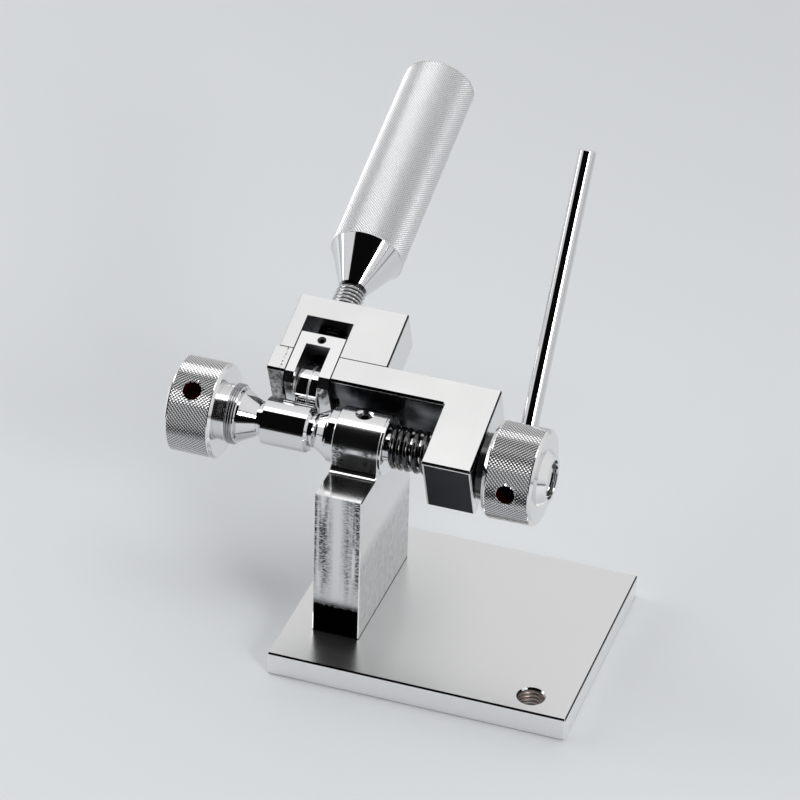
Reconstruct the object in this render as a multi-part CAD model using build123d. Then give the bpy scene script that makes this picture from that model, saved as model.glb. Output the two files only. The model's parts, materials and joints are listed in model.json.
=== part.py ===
"""Bench ring stretcher, all sizes in millimetres.

A plate carries a column with a boss. A fixed shaft lies in the boss along X. On its left end
a lower roller is clamped between two cones by a knurled knob. A head swings about the shaft:
its arm hangs on the right of the boss, between a spring and a second knob, and its other side
holds a slider with the upper roller, pressed at the lower roller by a long screw handle.

Frame: the origin is the centre of the plate's underside, X runs along the shaft, -Y is the
front and Z is up. Head pieces are drawn level, with v along the handle and n square to it,
and are then tilted about the shaft until the head lies on the column's rear shoulder.
"""
from build123d import *
from math import asin, atan2, cos, degrees, hypot, pi, sin, sqrt
import os

# ---- fits and edges ----
RUN_FIT = 0.05  # air round a turning or sliding shaft, on the radius
SEAT_FIT = 0.02  # air round a fixed pin, on the radius
END_GAP = 0.1  # air between faces that turn on each other
EDGE = 0.4  # bevel on the milled blocks
REST_GAP = 0.45  # air between the head's lower edge and the shoulder it lies on
CUT = 1.0  # how far a cutting tool runs past a face

# ---- threads: nominal diameter and pitch ----
M3, M4, M5, M6, M10, M12 = 3.0, 4.0, 5.0, 6.0, 10.0, 12.0
PITCH = {M3: 0.5, M4: 0.7, M5: 0.8, M6: 1.0, M10: 1.5, M12: 1.75}
PITCH_DEPTH = 0.3248  # depth from the crest to the pitch line, in pitches
TAP_DEPTH = 0.5413  # depth from the crest to the wall of a tapped hole, in pitches

# ---- base plate ----
PLATE_W = 120.0
PLATE_D = 100.0
PLATE_T = 10.0
BENCH_HOLE_SIDE = 16.5  # from the plate's side to the tapped hole
BENCH_HOLE_END = 9.5  # from the plate's front to the tapped hole
BENCH_HOLE_BEVEL = 0.6

# ---- column ----
COLUMN_INSET = 11.0  # from the plate's left side to the column
COLUMN_W = 19.0
COLUMN_D = 60.0
COLUMN_H = 64.0  # from the plate to the two shoulders
NECK_D = 24.0  # the neck's thickness, and the diameter of the boss on top
NECK_FILLET = 3.0
SHAFT_RISE = 8.0  # from the shoulders up to the shaft's axis
COLUMN_SCREW_INSET = 12.0  # from the column's front or back face to its screw
COLUMN_SCREW_L = 20.0
SCREW_SINK = 0.5  # how far a sunk screw head lies below the face
BOSS_SCREW_L = 4.5
BOSS_SCREW_COUNTERSINK = 1.0

# ---- shaft ----
SHAFT_R = 6.0
PILOT_R = 5.0  # the thinner left end, under the lower roller
COLLAR_R = 11.0
COLLAR_W = 3.5
SEAT_CONE_BIG_R = 9.7
SEAT_CONE_SMALL_R = 6.7
SEAT_STEP_W = 1.0
SEAT_CONE_W = 5.5
SEAT_NECK_W = 1.3
SHAFT_END_BEVEL = 0.8
LEFT_THREAD_L = 17.0  # how far the shaft's end reaches into the left knob

# ---- lower roller and its clamp ----
LOWER_ROLLER_R = 9.5
LOWER_ROLLER_W = 19.7
LOWER_ROLLER_BEVEL = 1.0
CLAMP_NECK_R = 6.3
CLAMP_NECK_W = 1.8
CLAMP_CONE_SMALL_R = 6.9
CLAMP_CONE_BIG_R = 10.4
CLAMP_CONE_W = 6.5
CLAMP_GROOVE_R = 9.0
CLAMP_GROOVE_W = 0.8
CLAMP_FLANGE_R = 11.3
CLAMP_FLANGE_W = 0.9
CLAMP_WASHERS = 3
CLAMP_WASHER_R = 12.0
CLAMP_WASHER_T = 1.0
CLAMP_WASHER_ROUND = 0.35

# ---- knobs ----
KNOB_R = 19.0
LEFT_KNOB_W = 19.0
RIGHT_KNOB_W = 20.0
KNOB_BEVEL = 1.0
KNOB_INNER_BEVEL = 1.5  # the right knob's bevel towards the head
KNURL_DEPTH = 0.3  # the knurled bands are drawn at the roots of their teeth
KNURL_RIM = 0.4  # plain ring at each end of a knurled band
KNOB_HOLE_R = 3.7
KNOB_HOLE_FLOOR_R = 8.0  # distance of the cross holes' floors from the axis
KNOB_HOLES = 3
LEFT_HOLE_ANGLE = 9.0
RIGHT_HOLE_ANGLE = 54.5
LEFT_HUB_R = 11.3
LEFT_HUB_W = 3.0
LEFT_HUB_GROOVE_W = 0.5
LEFT_HUB_GROOVE_DEPTH = 0.4
LEFT_KNOB_BACK = 4.0  # wall between the thread's end and the outer face
RIGHT_BOSS_BIG_R = 11.7
RIGHT_BOSS_SMALL_R = 9.5
RIGHT_BOSS_W = 3.0
RIGHT_RECESS_R = 7.7
RIGHT_RECESS_DEPTH = 2.5
RIGHT_THREAD_PROUD = 1.3  # the shaft's end stands this far out of the recess floor

# ---- spring side ----
THRUST_WASHER_R = 12.0
THRUST_WASHER_T = 1.0
SPRING_R = 8.5
SPRING_WIRE_R = 1.1
SPRING_CLOSE_PITCH = 2.65
SPRING_CLOSE_QUARTERS = 9  # quarter turns wound close, at the washer
SPRING_OPEN_QUARTERS = 9
SPRING_END_QUARTERS = 2  # quarter turns wound close, at the arm
SPRING_SEAT_GAP = 0.3
SPRING_L = 18.1  # from the washer to the head's arm
DISHED_WASHER_R = 13.0
DISHED_WASHER_BORE_R = 6.2
DISHED_WASHER_T = 1.5
DISHED_WASHER_RISE = 0.6

# ---- head ----
HEAD_T = 27.2
BRIDGE_V = 15.4  # from the shaft's axis to the bridge's front
BRIDGE_D = 11.3
ARM_W = 19.6
ARM_NOSE = 13.75  # how far the arm reaches past the shaft's axis
BUSH_R = 8.0
PRESS_SHIFT = 3.65  # from the lower roller's middle to the middle of the slot, slider and handle
SLOT_W = 19.2
CHEEK_W = 7.4
BLOCK_LEFT_STEP = 1.6  # the block's left side lies this far inside the cheek's
BLOCK_RIGHT = 19.35  # from the slot's right wall to the block's right side
BLOCK_D = 26.9
BLOCK_T = 19.6
BACK_WALL = 10.1  # behind the slot, holding the handle's thread
AXLE_GROOVE_W = 5.2
AXLE_GROOVE_DEPTH = 2.3
AXLE_GROOVE_L = 16.0
ARM_SCREW_L = 30.0
CHEEK_SCREW_L = 30.0
CHEEK_SCREW_INSET = 3.6  # from the block's top
CHEEK_DOWEL_WALL = 0.7  # between the cheek's dowel and the axle groove
DOWEL_R = 2.0
CHEEK_DOWEL_R = 1.5
DOWEL_L = 16.0
ARM_SCREW_INSET = 4.9  # of the two screws and two dowels, from the block's edges

# ---- slider, upper roller and handle ----
SLIDER_D = 20.1
FORK_LEFT_ARM = 4.1  # width of the fork's left arm
FORK_GAP_W = 10.0
FORK_GAP_D = 14.6
ROLLER_GAP = 1.1  # between the two rollers at rest
UPPER_ROLLER_R = 8.8
UPPER_ROLLER_BEVEL = 0.5
UPPER_ROLLER_PLAY = 0.6  # sideways, in the fork
UPPER_GROOVE_W = 0.5
UPPER_GROOVE_DEPTH = 0.6
UPPER_GROOVE_LEFT = 5.2  # from the roller's left side to its groove
AXLE_R = 2.5
AXLE_END_GAP = 0.25  # between the axle's ends and the floors of the guide grooves
NOSE_R = 4.0
NOSE_GROOVE_R = 2.6
RETAINER_SINK = 0.5
PRESS_THREAD_OUT = 12.4  # thread that shows behind the block
UNDERCUT_R = 5.0
UNDERCUT_W = 1.5
SHANK_L = 26.0  # the screw's plain end, inside the handle
GRIP_R = 15.0
GRIP_NECK_R = 5.8
GRIP_CONE_R = 14.8
GRIP_CONE_L = 17.5
GRIP_L = 96.0
GRIP_END_BEVEL = 1.4
BAR_R = 3.4
BAR_REACH = 125.7  # from the shaft's axis to the bar's outer end
BAR_BEVEL = 0.6

# ---- places that follow from the sizes ----
SHOULDER_Z = PLATE_T + COLUMN_H
SHAFT_Z = SHOULDER_Z + SHAFT_RISE
BOSS_LEFT = COLUMN_INSET - PLATE_W / 2
BOSS_RIGHT = BOSS_LEFT + COLUMN_W
COLUMN_X = (BOSS_LEFT + BOSS_RIGHT) / 2
COLLAR_X = BOSS_LEFT - COLLAR_W
SEAT_CONE_X = COLLAR_X - SEAT_STEP_W
SEAT_NECK_X = SEAT_CONE_X - SEAT_CONE_W
SEAT_X = SEAT_NECK_X - SEAT_NECK_W
LOWER_ROLLER_X = SEAT_X - END_GAP - LOWER_ROLLER_W
CLAMP_X = LOWER_ROLLER_X - END_GAP
CLAMP_CONE_X = CLAMP_X - CLAMP_NECK_W
CLAMP_GROOVE_X = CLAMP_CONE_X - CLAMP_CONE_W
CLAMP_FLANGE_X = CLAMP_GROOVE_X - CLAMP_GROOVE_W
CLAMP_WASHER_X = CLAMP_FLANGE_X - CLAMP_FLANGE_W
LEFT_HUB_X = CLAMP_WASHER_X - CLAMP_WASHERS * CLAMP_WASHER_T - END_GAP
LEFT_KNOB_X = LEFT_HUB_X - LEFT_HUB_W
SPRING_X = BOSS_RIGHT + THRUST_WASHER_T
ARM_LEFT = SPRING_X + SPRING_L
ARM_RIGHT = ARM_LEFT + ARM_W
DISHED_X = ARM_RIGHT + END_GAP
DISHED_W = DISHED_WASHER_T + DISHED_WASHER_RISE
RIGHT_KNOB_X = DISHED_X + 2 * DISHED_W + END_GAP
RIGHT_FACE_X = RIGHT_KNOB_X + RIGHT_KNOB_W
RECESS_X = RIGHT_FACE_X + RIGHT_BOSS_W - RIGHT_RECESS_DEPTH
HALF_T = HEAD_T / 2
PRESS_X = LOWER_ROLLER_X + LOWER_ROLLER_W / 2 + PRESS_SHIFT
SEAM_V = BRIDGE_V + BRIDGE_D
BLOCK_BACK = SEAM_V + BLOCK_D
SLOT_END = BLOCK_BACK - BACK_WALL
SLOT_LEFT = PRESS_X - SLOT_W / 2
SLOT_RIGHT = PRESS_X + SLOT_W / 2
CHEEK_LEFT = SLOT_LEFT - CHEEK_W
BLOCK_LEFT = CHEEK_LEFT + BLOCK_LEFT_STEP
BLOCK_END = SLOT_RIGHT + BLOCK_RIGHT
BLOCK_LOW = HALF_T - BLOCK_T
SCREW_N = (HALF_T + BLOCK_LOW) / 2
SLIDER_W = SLOT_W - 2 * RUN_FIT
SLIDER_BACK = BRIDGE_V + SLIDER_D
FORK_GAP_END = BRIDGE_V + FORK_GAP_D
ROLLER_V = LOWER_ROLLER_R + ROLLER_GAP + UPPER_ROLLER_R
FORK_GAP_LEFT = PRESS_X - SLIDER_W / 2 + FORK_LEFT_ARM
UPPER_ROLLER_LEFT = FORK_GAP_LEFT + END_GAP
UPPER_ROLLER_RIGHT = FORK_GAP_LEFT + FORK_GAP_W - UPPER_ROLLER_PLAY + END_GAP
NOSE_END = FORK_GAP_END + END_GAP
RETAINER_V = (FORK_GAP_END + SLIDER_BACK) / 2
THREAD_END = BLOCK_BACK + PRESS_THREAD_OUT
GRIP_V = THREAD_END + UNDERCUT_W
CHEEK_SCREW_X = (BLOCK_LEFT + SLOT_LEFT) / 2
NEAR_SLOT_X = SLOT_RIGHT + ARM_SCREW_INSET
FAR_SLOT_X = BLOCK_END - ARM_SCREW_INSET
HIGH_N = HALF_T - ARM_SCREW_INSET
LOW_N = BLOCK_LOW + ARM_SCREW_INSET

# The free head lies on the rear shoulder: its lower front edge, at BRIDGE_V and -HALF_T,
# turns about the shaft until it stands REST_GAP above the shoulder.
EDGE_REACH = hypot(BRIDGE_V, HALF_T)
TILT = degrees(atan2(HALF_T, BRIDGE_V) + asin((REST_GAP - SHAFT_RISE) / EDGE_REACH))
HEAD = Location((0, 0, SHAFT_Z), (TILT, 0, 0))


def pitch_radius(size):
    """Radius of the pitch line, at which a screw's thread is drawn."""
    return size / 2 - PITCH_DEPTH * PITCH[size]


def tapped_radius(size):
    """Wall radius of a tapped hole before its thread is cut."""
    return size / 2 - TAP_DEPTH * PITCH[size]


def nut_radius(size):
    """Radius of a threaded bore that a screw turns in."""
    return pitch_radius(size) + RUN_FIT


def turned(profile):
    """Solid turned about X from (x, radius) points that go once round the outline."""
    return revolve(make_face(Polyline(*profile, close=True)), Axis.X)


def rod(start, end, radius, start_bevel=0.0, end_bevel=0.0):
    """Round bar along X with an optional bevel at each end."""
    profile = [(start, 0), (start, radius - start_bevel)]
    if start_bevel:
        profile.append((start + start_bevel, radius))
    if end_bevel:
        profile.append((end - end_bevel, radius))
    profile += [(end, radius - end_bevel), (end, 0)]
    return turned(profile)


def block(low, high):
    """Box between two opposite corners."""
    size = [b - a for a, b in zip(low, high)]
    return Pos(*low) * Box(*size, align=(Align.MIN, Align.MIN, Align.MIN))


def along_v(x, n, shape):
    """Turns a shape drawn along X so that it lies along v, through the point (x, n)."""
    return Pos(x, 0, n) * Rot(0, 0, 90) * shape


def cross(x, angle, shape):
    """Stands a shape drawn along X out from the shaft's axis, at an angle from the back."""
    return Rot(angle, 0, 0) * Pos(x, 0, 0) * Rot(0, 0, 90) * shape


def on_shaft(shape):
    """Lifts a shape drawn about the X axis to the shaft."""
    return Pos(0, 0, SHAFT_Z) * shape


def in_head(shape):
    """Tilts a shape drawn in the level head to where the head lies."""
    return HEAD * shape


def group(solids):
    """Separate solids that share one name."""
    return Compound(children=list(solids))


def cap_head_r(size):
    """Radius of a socket cap screw's head."""
    return (1.5 * size + 1) / 2


def cap_screw(size, length):
    """Socket cap screw that points up Z, with the underside of its head at zero."""
    head = Pos(0, 0, -size / 2) * Cylinder(cap_head_r(size), size)
    shank = Pos(0, 0, length / 2) * Cylinder(pitch_radius(size), length)
    socket = extrude(RegularPolygon(0.46 * size, 6), size / 2)
    return head + shank - Pos(0, 0, -size) * socket


def cap_screw_hole(size, clear_depth, depth):
    """Counterbore, clearance hole and tapped hole for a cap screw."""
    sink_depth = size + SCREW_SINK + CUT
    sink = Pos(0, 0, -sink_depth / 2) * Cylinder(cap_head_r(size) + 0.5, sink_depth)
    clear = Pos(0, 0, clear_depth / 2) * Cylinder(size / 2 + 0.3, clear_depth)
    tapped = Pos(0, 0, depth / 2) * Cylinder(pitch_radius(size) + SEAT_FIT, depth)
    return sink + clear + tapped


def grub_screw(size, length):
    """Set screw that points down Z from zero, with a socket in its top."""
    body = Pos(0, 0, -length / 2) * Cylinder(pitch_radius(size), length)
    socket = extrude(RegularPolygon(0.29 * size, 6), -length / 2)
    return body - socket


def bevelled(shape, *planes):
    """Bevels all edges of a block except those that lie in the given (axis, place) planes."""
    edges = shape.edges()
    for axis, place in planes:
        edges = edges - edges.filter_by_position(axis, place - 0.01, place + 0.01)
    return chamfer(edges, EDGE)


# ---- base plate ----
def bench_hole_places():
    """The tapped holes by which the plate is screwed to a bench, on one diagonal."""
    x = PLATE_W / 2 - BENCH_HOLE_SIDE
    y = PLATE_D / 2 - BENCH_HOLE_END
    return [(x, -y), (-x, y)]


def column_screw_places():
    """Places of the two screws that hold the column from below."""
    reach = COLUMN_D / 2 - COLUMN_SCREW_INSET
    return [(COLUMN_X, -reach), (COLUMN_X, reach)]


def base_plate():
    """Ground plate with two tapped bench holes and two sunk holes under the column."""
    low = (-PLATE_W / 2, -PLATE_D / 2, 0)
    high = (PLATE_W / 2, PLATE_D / 2, PLATE_T)
    plate = bevelled(block(low, high))
    wall = tapped_radius(M12)
    for x, y in bench_hole_places():
        plate -= Pos(x, y, PLATE_T / 2) * Cylinder(wall, PLATE_T + 2 * CUT)
        mouth = Cone(wall, wall + BENCH_HOLE_BEVEL, BENCH_HOLE_BEVEL)
        plate -= Pos(x, y, PLATE_T - BENCH_HOLE_BEVEL / 2) * mouth
        plate -= Pos(x, y, BENCH_HOLE_BEVEL / 2) * Rot(180, 0, 0) * mouth
    for x, y in column_screw_places():
        plate -= Pos(x, y, M6 + SCREW_SINK) * cap_screw_hole(M6, PLATE_T, PLATE_T)
    return plate


# ---- column ----
def column():
    """Column with a neck and a round boss, bored for the shaft, in one piece."""
    foot = Pos(0, PLATE_T + COLUMN_H / 2) * Rectangle(COLUMN_D, COLUMN_H)
    neck = Pos(0, SHOULDER_Z + SHAFT_RISE / 2) * Rectangle(NECK_D, SHAFT_RISE)
    outline = foot + neck + Pos(0, SHAFT_Z) * Circle(NECK_D / 2)
    inner_corners = [
        corner
        for corner in outline.vertices()
        if abs(corner.Y - SHOULDER_Z) < 0.01 and abs(corner.X) < COLUMN_D / 2 - 1
    ]
    outline = fillet(inner_corners, NECK_FILLET)
    body = extrude(Plane.YZ.offset(BOSS_LEFT) * outline, COLUMN_W)
    sides = body.faces().filter_by(Axis.X).edges() - body.edges().filter_by_position(
        Axis.Z, PLATE_T - 0.01, PLATE_T + 0.01
    )
    body = chamfer(sides, EDGE)
    body -= on_shaft(rod(BOSS_LEFT - CUT, BOSS_RIGHT + CUT, SHAFT_R + SEAT_FIT))
    tap = pitch_radius(M6) + SEAT_FIT
    boss_top = SHAFT_Z + NECK_D / 2
    tap_depth = NECK_D / 2 + CUT
    body -= Pos(COLUMN_X, 0, boss_top + CUT - tap_depth / 2) * Cylinder(tap, tap_depth)
    sink = BOSS_SCREW_COUNTERSINK
    body -= Pos(COLUMN_X, 0, boss_top - sink / 2) * Cone(tap, tap + sink, sink)
    for x, y in column_screw_places():
        depth = COLUMN_SCREW_L + 2 * CUT
        body -= Pos(x, y, M6 + SCREW_SINK) * cap_screw_hole(M6, PLATE_T - M6, depth)
    return body


def column_screws():
    """Two cap screws, up through the plate into the column."""
    return group(Pos(x, y, M6 + SCREW_SINK) * cap_screw(M6, COLUMN_SCREW_L) for x, y in column_screw_places())


def boss_grub_screw():
    """Set screw in the top of the boss that holds the shaft."""
    tip = SHAFT_Z + SHAFT_R + SEAT_FIT
    return Pos(COLUMN_X, 0, tip + BOSS_SCREW_L) * grub_screw(M6, BOSS_SCREW_L)


# ---- shaft and lower roller ----
def main_shaft():
    """Fixed shaft: thread, pilot, seat cone and collar on the left, plain and thread on the right."""
    left_end = LEFT_HUB_X - LEFT_THREAD_L
    right_end = RECESS_X + RIGHT_THREAD_PROUD
    bevel = SHAFT_END_BEVEL
    left_thread = pitch_radius(M10)
    right_thread = pitch_radius(M12)
    profile = [
        (left_end, 0),
        (left_end, left_thread - bevel),
        (left_end + bevel, left_thread),
        (CLAMP_WASHER_X, left_thread),
        (CLAMP_WASHER_X, PILOT_R),
        (SEAT_X, PILOT_R),
        (SEAT_X, SEAT_CONE_SMALL_R),
        (SEAT_NECK_X, SEAT_CONE_SMALL_R),
        (SEAT_CONE_X, SEAT_CONE_BIG_R),
        (COLLAR_X, SEAT_CONE_BIG_R),
        (COLLAR_X, COLLAR_R - EDGE),
        (COLLAR_X + EDGE, COLLAR_R),
        (BOSS_LEFT, COLLAR_R),
        (BOSS_LEFT, SHAFT_R),
        (ARM_RIGHT, SHAFT_R),
        (ARM_RIGHT, right_thread),
        (right_end - bevel, right_thread),
        (right_end, right_thread - bevel),
        (right_end, 0),
    ]
    return on_shaft(turned(profile))


def lower_roller():
    """Plain roller that the ring hangs on."""
    right = LOWER_ROLLER_X + LOWER_ROLLER_W
    bevel = LOWER_ROLLER_BEVEL
    roller = rod(LOWER_ROLLER_X, right, LOWER_ROLLER_R, bevel, bevel)
    return on_shaft(roller - rod(LOWER_ROLLER_X - CUT, right + CUT, PILOT_R + RUN_FIT))


def clamping_cone():
    """Cone that centres and clamps the lower roller."""
    profile = [
        (CLAMP_X, PILOT_R + RUN_FIT),
        (CLAMP_X, CLAMP_NECK_R),
        (CLAMP_CONE_X, CLAMP_NECK_R),
        (CLAMP_CONE_X, CLAMP_CONE_SMALL_R),
        (CLAMP_GROOVE_X, CLAMP_CONE_BIG_R),
        (CLAMP_GROOVE_X, CLAMP_GROOVE_R),
        (CLAMP_FLANGE_X, CLAMP_GROOVE_R),
        (CLAMP_FLANGE_X, CLAMP_FLANGE_R - EDGE),
        (CLAMP_FLANGE_X - EDGE, CLAMP_FLANGE_R),
        (CLAMP_WASHER_X, CLAMP_FLANGE_R),
        (CLAMP_WASHER_X, PILOT_R + RUN_FIT),
    ]
    return on_shaft(turned(profile))


def clamp_washers():
    """Thin rings between the clamping cone and the knob."""
    rings = []
    for number in range(CLAMP_WASHERS):
        right = CLAMP_WASHER_X - number * CLAMP_WASHER_T
        left = right - CLAMP_WASHER_T
        ring = rod(left, right, CLAMP_WASHER_R, CLAMP_WASHER_ROUND, CLAMP_WASHER_ROUND)
        rings.append(on_shaft(ring - rod(left - CUT, right + CUT, PILOT_R + RUN_FIT)))
    return group(rings)


# ---- knobs ----
def knurled_rim(left, right, left_bevel, right_bevel):
    """Outline of a knob's rim, left to right, with its knurled band at the teeth's roots."""
    root = KNOB_R - KNURL_DEPTH
    band_left = left + left_bevel + KNURL_RIM
    band_right = right - right_bevel - KNURL_RIM
    return [
        (left, KNOB_R - left_bevel),
        (left + left_bevel, KNOB_R),
        (band_left, KNOB_R),
        (band_left, root),
        (band_right, root),
        (band_right, KNOB_R),
        (right - right_bevel, KNOB_R),
        (right, KNOB_R - right_bevel),
    ]


def cross_holes(middle, first_angle):
    """Holes for the tommy bar, spread evenly round a knob."""
    holes = Part()
    for number in range(KNOB_HOLES):
        angle = first_angle + number * 360 / KNOB_HOLES
        holes += cross(middle, angle, rod(KNOB_HOLE_FLOOR_R, KNOB_R + CUT, KNOB_HOLE_R))
    return holes


def left_knob():
    """Knob with a hub that screws on the shaft's left end."""
    outer = LEFT_KNOB_X - LEFT_KNOB_W
    bore = nut_radius(M10)
    bore_end = outer + LEFT_KNOB_BACK
    groove_left = LEFT_KNOB_X + (LEFT_HUB_W - LEFT_HUB_GROOVE_W) / 2
    groove_r = LEFT_HUB_R - LEFT_HUB_GROOVE_DEPTH
    profile = [(outer, 0)] + knurled_rim(outer, LEFT_KNOB_X, KNOB_BEVEL, KNOB_BEVEL)
    profile += [
        (LEFT_KNOB_X, LEFT_HUB_R),
        (groove_left, LEFT_HUB_R),
        (groove_left, groove_r),
        (groove_left + LEFT_HUB_GROOVE_W, groove_r),
        (groove_left + LEFT_HUB_GROOVE_W, LEFT_HUB_R),
        (LEFT_HUB_X, LEFT_HUB_R),
        (LEFT_HUB_X, bore),
        (bore_end, bore),
        (bore_end, 0),
    ]
    return on_shaft(turned(profile) - cross_holes(outer + LEFT_KNOB_W / 2, LEFT_HOLE_ANGLE))


def right_knob():
    """Knob with a raised cone, through which the shaft's end shows."""
    bore = nut_radius(M12)
    boss_end = RIGHT_FACE_X + RIGHT_BOSS_W
    profile = [(RIGHT_KNOB_X, bore)]
    profile += knurled_rim(RIGHT_KNOB_X, RIGHT_FACE_X, KNOB_INNER_BEVEL, KNOB_BEVEL)
    profile += [
        (RIGHT_FACE_X, RIGHT_BOSS_BIG_R),
        (boss_end, RIGHT_BOSS_SMALL_R),
        (boss_end, RIGHT_RECESS_R),
        (RECESS_X, RIGHT_RECESS_R),
        (RECESS_X, bore),
    ]
    return on_shaft(turned(profile) - cross_holes(RIGHT_KNOB_X + RIGHT_KNOB_W / 2, RIGHT_HOLE_ANGLE))


def tommy_bar():
    """Loose bar that turns the knobs, standing in the right knob's first hole."""
    bar = rod(KNOB_HOLE_FLOOR_R + END_GAP, BAR_REACH, BAR_R, BAR_BEVEL, BAR_BEVEL)
    return on_shaft(cross(RIGHT_KNOB_X + RIGHT_KNOB_W / 2, RIGHT_HOLE_ANGLE, bar))


# ---- spring side ----
def thrust_washer():
    """Flat washer between the boss and the spring."""
    ring = rod(BOSS_RIGHT, SPRING_X, THRUST_WASHER_R, 0, CLAMP_WASHER_ROUND)
    return on_shaft(ring - rod(BOSS_RIGHT - CUT, SPRING_X + CUT, SHAFT_R + RUN_FIT))


def spring_knots():
    """Points and directions along the spring's wire, one each quarter turn."""
    wire_d = 2 * SPRING_WIRE_R
    travel = SPRING_L - 2 * SPRING_SEAT_GAP - wire_d
    close = SPRING_CLOSE_PITCH / 4
    close_quarters = SPRING_CLOSE_QUARTERS + SPRING_END_QUARTERS
    open_quarter = (travel - close_quarters * close) / SPRING_OPEN_QUARTERS
    steps = [close] * SPRING_CLOSE_QUARTERS
    steps += [open_quarter] * SPRING_OPEN_QUARTERS
    steps += [close] * SPRING_END_QUARTERS
    radius = SPRING_R - SPRING_WIRE_R
    places = [SPRING_X + SPRING_SEAT_GAP + SPRING_WIRE_R]
    for step in steps:
        places.append(places[-1] + step)
    rises = [steps[0]] + [(a + b) / 2 for a, b in zip(steps, steps[1:])] + [steps[-1]]
    knots = []
    for number, (x, rise) in enumerate(zip(places, rises)):
        angle = number * pi / 2
        point = Vector(x, radius * cos(angle), radius * sin(angle))
        slope = rise / (pi / 2)
        heading = Vector(slope, -radius * sin(angle), radius * cos(angle)).normalized()
        knots.append((point, heading))
    return knots


def biarc(start, start_heading, end, end_heading):
    """Two arcs that leave one point and reach another in the given directions."""
    chord = end - start
    both = start_heading + end_heading
    spread = 2 * (1 - start_heading.dot(end_heading))
    along = chord.dot(both)
    reach = (sqrt(along * along + spread * chord.dot(chord)) - along) / spread
    middle = (start + end + (start_heading - end_heading) * reach) * 0.5
    first = Edge.make_tangent_arc(start, start_heading, middle)
    return [first, Edge.make_tangent_arc(middle, first % 1, end)]


def spring():
    """Compression spring of round wire, close wound at both ends."""
    knots = spring_knots()
    arcs = []
    for (start, start_heading), (end, end_heading) in zip(knots, knots[1:]):
        arcs += biarc(start, start_heading, end, end_heading)
    wire = Wire(arcs)
    section = Plane(origin=knots[0][0], z_dir=knots[0][1]) * Circle(SPRING_WIRE_R)
    print("spring: least gap between turns", round(spring_gap(arcs), 3), "mm")
    return on_shaft(sweep(section, path=wire))


def spring_gap(arcs):
    """Least air between one turn's wire and the next, measured on points along the wire."""
    samples = 6
    points = [arc @ (k / samples) for arc in arcs for k in range(samples)]
    per_turn = 8 * samples
    least = 2 * SPRING_R
    for first in range(len(points)):
        for second in range(first + per_turn // 2, len(points)):
            least = min(least, (points[first] - points[second]).length)
    return least - 2 * SPRING_WIRE_R


def dished_washers():
    """Two dished washers, rim to rim, between the head's arm and the right knob."""
    hole = DISHED_WASHER_BORE_R
    rim = DISHED_WASHER_R
    middle = DISHED_X + DISHED_W
    halves = []
    for side in (-1, 1):
        outer_face = middle + side * DISHED_W
        profile = [
            (outer_face, hole),
            (outer_face - side * DISHED_WASHER_T, hole),
            (middle, rim),
            (middle + side * DISHED_WASHER_T, rim),
        ]
        halves.append(on_shaft(turned(profile)))
    return group(halves)


# ---- head ----
def arm_screw_places():
    """Screws that hold the arm to the block, on one diagonal."""
    return [(NEAR_SLOT_X, HIGH_N), (FAR_SLOT_X, LOW_N)]


def arm_dowel_places():
    """Dowels between the arm and the block, on the other diagonal."""
    return [(NEAR_SLOT_X, LOW_N), (FAR_SLOT_X, HIGH_N)]


def cheek_screw_places():
    """Screw that holds the cheek to the block, above the axle's groove."""
    return [(CHEEK_SCREW_X, HALF_T - CHEEK_SCREW_INSET)]


def cheek_dowel_n():
    """Height of the cheek's dowel, between its screw and the axle's groove."""
    return AXLE_GROOVE_W / 2 + CHEEK_DOWEL_WALL + CHEEK_DOWEL_R


def from_back(x, n, size, shape):
    """Puts a screw or its hole into the block's back face, pointing at the shaft."""
    return Pos(x, BLOCK_BACK - size - SCREW_SINK, n) * Rot(90, 0, 0) * shape


def head_screw_holes():
    """All holes for the screws that hold the head together."""
    holes = Part()
    for x, n in arm_screw_places():
        clear = BLOCK_D - M5 - SCREW_SINK
        holes += from_back(x, n, M5, cap_screw_hole(M5, clear, ARM_SCREW_L + CUT))
    for x, n in cheek_screw_places():
        clear = BLOCK_D - M3 - SCREW_SINK
        holes += from_back(x, n, M3, cap_screw_hole(M3, clear, CHEEK_SCREW_L + CUT))
    return holes


def dowel(x, n, radius, extra=0.0):
    """Dowel across the seam between the block and what is screwed to it."""
    half = DOWEL_L / 2 + extra
    return along_v(x, n, rod(SEAM_V - half, SEAM_V + half, radius + extra, EDGE, EDGE))


def dowel_holes():
    """Holes for the three dowels."""
    holes = Part()
    for x, n in arm_dowel_places():
        holes += dowel(x, n, DOWEL_R, SEAT_FIT)
    return holes + dowel(CHEEK_SCREW_X, cheek_dowel_n(), CHEEK_DOWEL_R, SEAT_FIT)


def axle_groove():
    """Guide grooves for the axle's ends, cut in both walls of the slot."""
    half = SLOT_W / 2 + AXLE_GROOVE_DEPTH
    low = (PRESS_X - half, BRIDGE_V - CUT, -AXLE_GROOVE_W / 2)
    high = (PRESS_X + half, BRIDGE_V + AXLE_GROOVE_L, AXLE_GROOVE_W / 2)
    return block(low, high)


def head_arm():
    """L-shaped front piece of the head: the bridge and the arm that hangs on the shaft."""
    outline = Polyline(
        (SLOT_RIGHT, BRIDGE_V),
        (ARM_LEFT, BRIDGE_V),
        (ARM_LEFT, -ARM_NOSE),
        (ARM_RIGHT, -ARM_NOSE),
        (ARM_RIGHT, SEAM_V),
        (SLOT_RIGHT, SEAM_V),
        close=True,
    )
    piece = extrude(Pos(0, 0, -HALF_T) * make_face(outline), HEAD_T)
    piece = bevelled(piece, (Axis.X, SLOT_RIGHT))
    piece -= rod(ARM_LEFT - CUT, ARM_RIGHT + CUT, BUSH_R + SEAT_FIT)
    piece -= head_screw_holes() + dowel_holes()
    return in_head(piece - axle_groove())


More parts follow.
